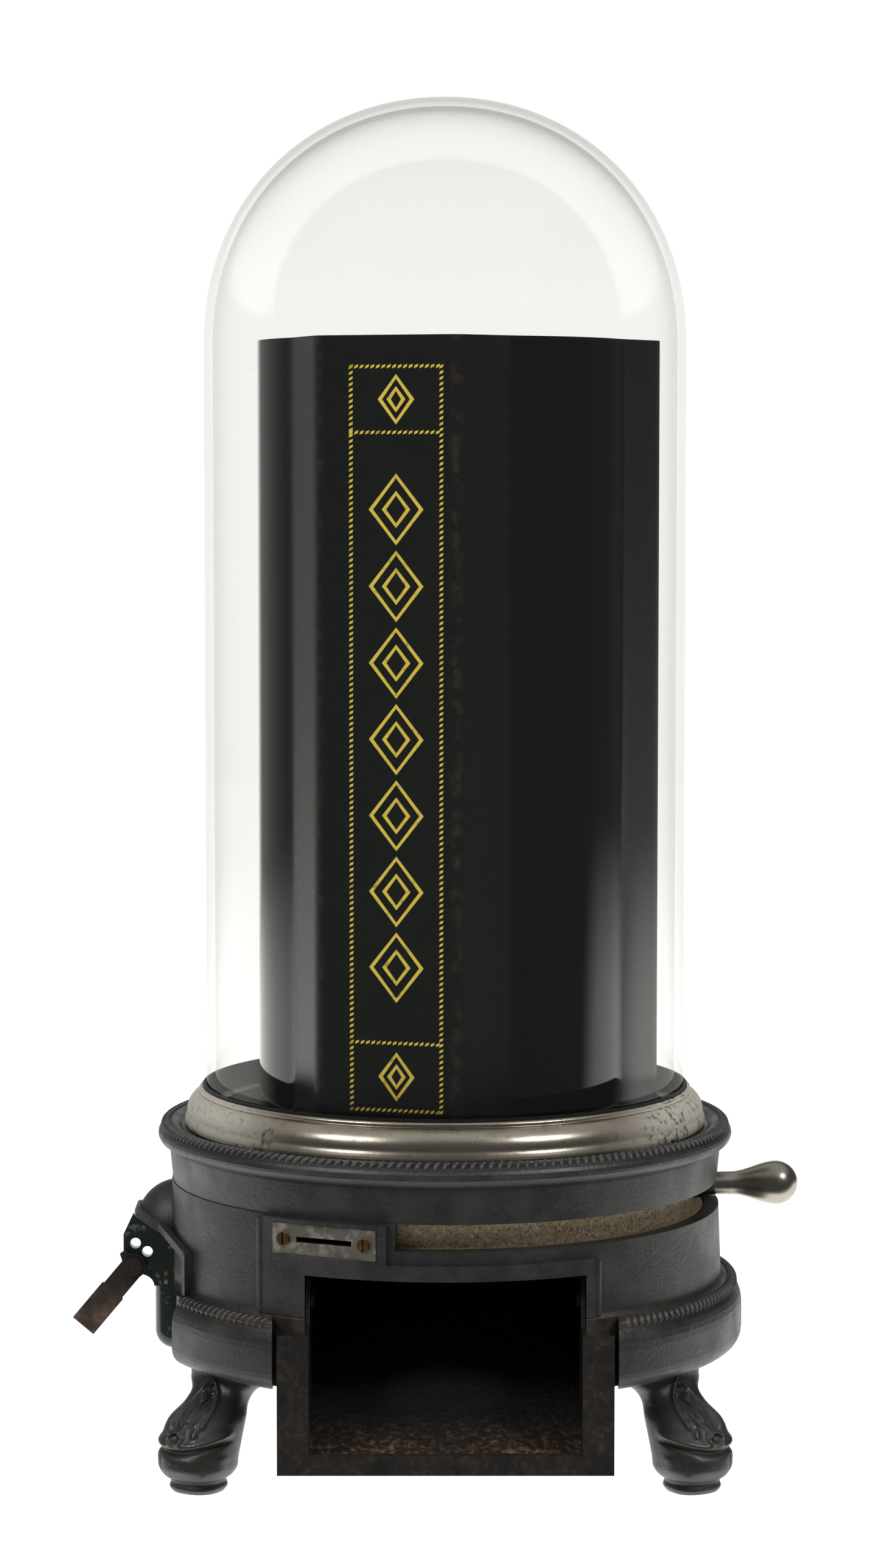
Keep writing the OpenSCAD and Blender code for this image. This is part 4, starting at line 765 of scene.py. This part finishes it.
leverKnob()
print("lever knob made")


# Studio: white table and backdrop, three soft lights, and the camera

studio = {"tableRadius": 3.0, "tableGlow": 1.04, "tableSteps": 96,
          "boxSpot": (1.1, -0.98, 1.2), "boxAim": (0, 0, 0.15), "boxSize": 0.42, "boxPower": 7.0,
          "topSpot": (0.0, -0.5, 2.2), "topAim": (0, 0, 0.1), "topSize": 1.6, "topPower": 24.0,
          "dim": 0.08, "white": 1.09, "leftGlow": 0.4, "paper": 1.4, "sky": 0.4,
          "tint": (1.0, 0.995, 0.965)}


def studioTable():
    # a white paper disc that glows a little, so its shadows stay faint; it isn't mirrored in the part
    angle = np.linspace(0, 2 * np.pi, studio["tableSteps"], endpoint=False)
    points = studio["tableRadius"] * np.stack([np.cos(angle), np.sin(angle), 0 * angle], -1)
    mesh = bpy.data.meshes.new("table")
    mesh.from_pydata(points.tolist(), [], [list(range(len(points)))])
    paper = Finish("tablePaper", colour=(0.14, 0.14, 0.135), rough=0.8)
    paper.wear(glow=studio["tint"], glowPower=studio["tableGlow"])
    mesh.materials.append(paper.material)
    made = bpy.data.objects.new("table", mesh)
    made.visible_glossy = False
    bpy.context.scene.collection.objects.link(made)


def areaLight(name, spot, target, size, power):
    # a disc at spot, tipped and turned until it looks along the way to target
    lamp = bpy.data.lights.new(name, "AREA")
    lamp.shape, lamp.size, lamp.energy = "DISK", size, power
    made = bpy.data.objects.new(name, lamp)
    made.location = spot
    way = np.array(target) - np.array(spot)
    made.rotation_euler = (math.acos(-way[2] / np.linalg.norm(way)), 0.0, math.atan2(-way[0], way[1]))
    bpy.context.scene.collection.objects.link(made)
    return made


class Sky(Finish):
    # the world's nodes, made with the same helpers; directions stand in for places
    def __init__(self):
        self.world = bpy.data.worlds.new("studio")
        self.world.use_nodes = True
        self.tree = self.world.node_tree
        self.place = self.node("ShaderNodeTexCoord", out="Generated")
        self.x, self.y, self.z = (self.part(self.place, i) for i in range(3))


# where each thing that the part mirrors fades in, along a direction's own x, y or z
mirrored = {"wall": (0.88, 0.965), "table": (0.15, 0.5), "tableLean": 1.1, "horizon": (-0.08, -0.14),
            "above": (0.4, 0.9), "leftwards": (-0.15, -0.5), "leftBack": (0.0, 0.95),
            "leftLevel": (0.6, 0.3)}


def studioWorld():
    # what the part mirrors: a white wall behind, a paler side at the left, white paper below the horizon,
    # some light above, and a dim front; the backdrop itself is white on every side
    sky = Sky()
    wall = sky.band(sky.y, *mirrored["wall"])
    table = sky.band(sky.y - sky.z * mirrored["tableLean"], *mirrored["table"])
    table = table * sky.band(sky.z, *mirrored["horizon"])
    above = sky.band(sky.z, *mirrored["above"])
    leftSide = sky.band(sky.x, *mirrored["leftwards"]) * sky.band(sky.y, *mirrored["leftBack"])
    leftSide = leftSide * sky.band(abs(sky.z), *mirrored["leftLevel"])
    backdrop = sky.node("ShaderNodeLightPath", out="Is Camera Ray")
    strength = wall * studio["white"]
    for light in (table * studio["paper"], leftSide * studio["leftGlow"], above * studio["sky"],
                  studio["dim"], backdrop * studio["white"]):
        strength = strength.math("MAXIMUM", light)
    background = sky.tree.nodes["Background"]
    sky.feed(background.inputs["Color"], studio["tint"])
    sky.feed(background.inputs["Strength"], strength)
    bpy.context.scene.world = sky.world


studioTable()
# the side lamps spare the glass and the japan behind it, which would mirror them as hard spots
spared = bpy.data.collections.new("sparedBySideLamps")
for piece in (glass, skin):
    spared.objects.link(piece)
for entry in spared.collection_objects:
    entry.light_linking.link_state = "EXCLUDE"
for sign, name in ((-1, "softBoxLeft"), (1, "softBoxRight")):
    x, y, z = studio["boxSpot"]
    sideBox = areaLight(name, (sign * x, y, z), studio["boxAim"], studio["boxSize"], studio["boxPower"])
    sideBox.light_linking.receiver_collection = spared
topBox = areaLight("topBox", studio["topSpot"], studio["topAim"], studio["topSize"], studio["topPower"])
topBox.visible_glossy = False
studioWorld()

# the camera is level with the dome's upper half and tipped a little down; the part's axis falls just right
# of the picture's middle
view = {"spot": (-3.7 * mm, -1.4, 348.4 * mm), "dip": 4.53, "focal": 6509.0, "tall": 2576.0,
        "sensor": 36.0}
lens = bpy.data.cameras.new("camera")
lens.sensor_fit, lens.sensor_height = "VERTICAL", view["sensor"]
lens.lens = view["focal"] / view["tall"] * view["sensor"]
camera = bpy.data.objects.new("camera", lens)
camera.location = view["spot"]
camera.rotation_euler = (math.radians(90 - view["dip"]), 0, 0)
bpy.context.scene.collection.objects.link(camera)
bpy.context.scene.camera = camera
bpy.context.scene.view_settings.view_transform = "Standard"
print("studio and camera set")
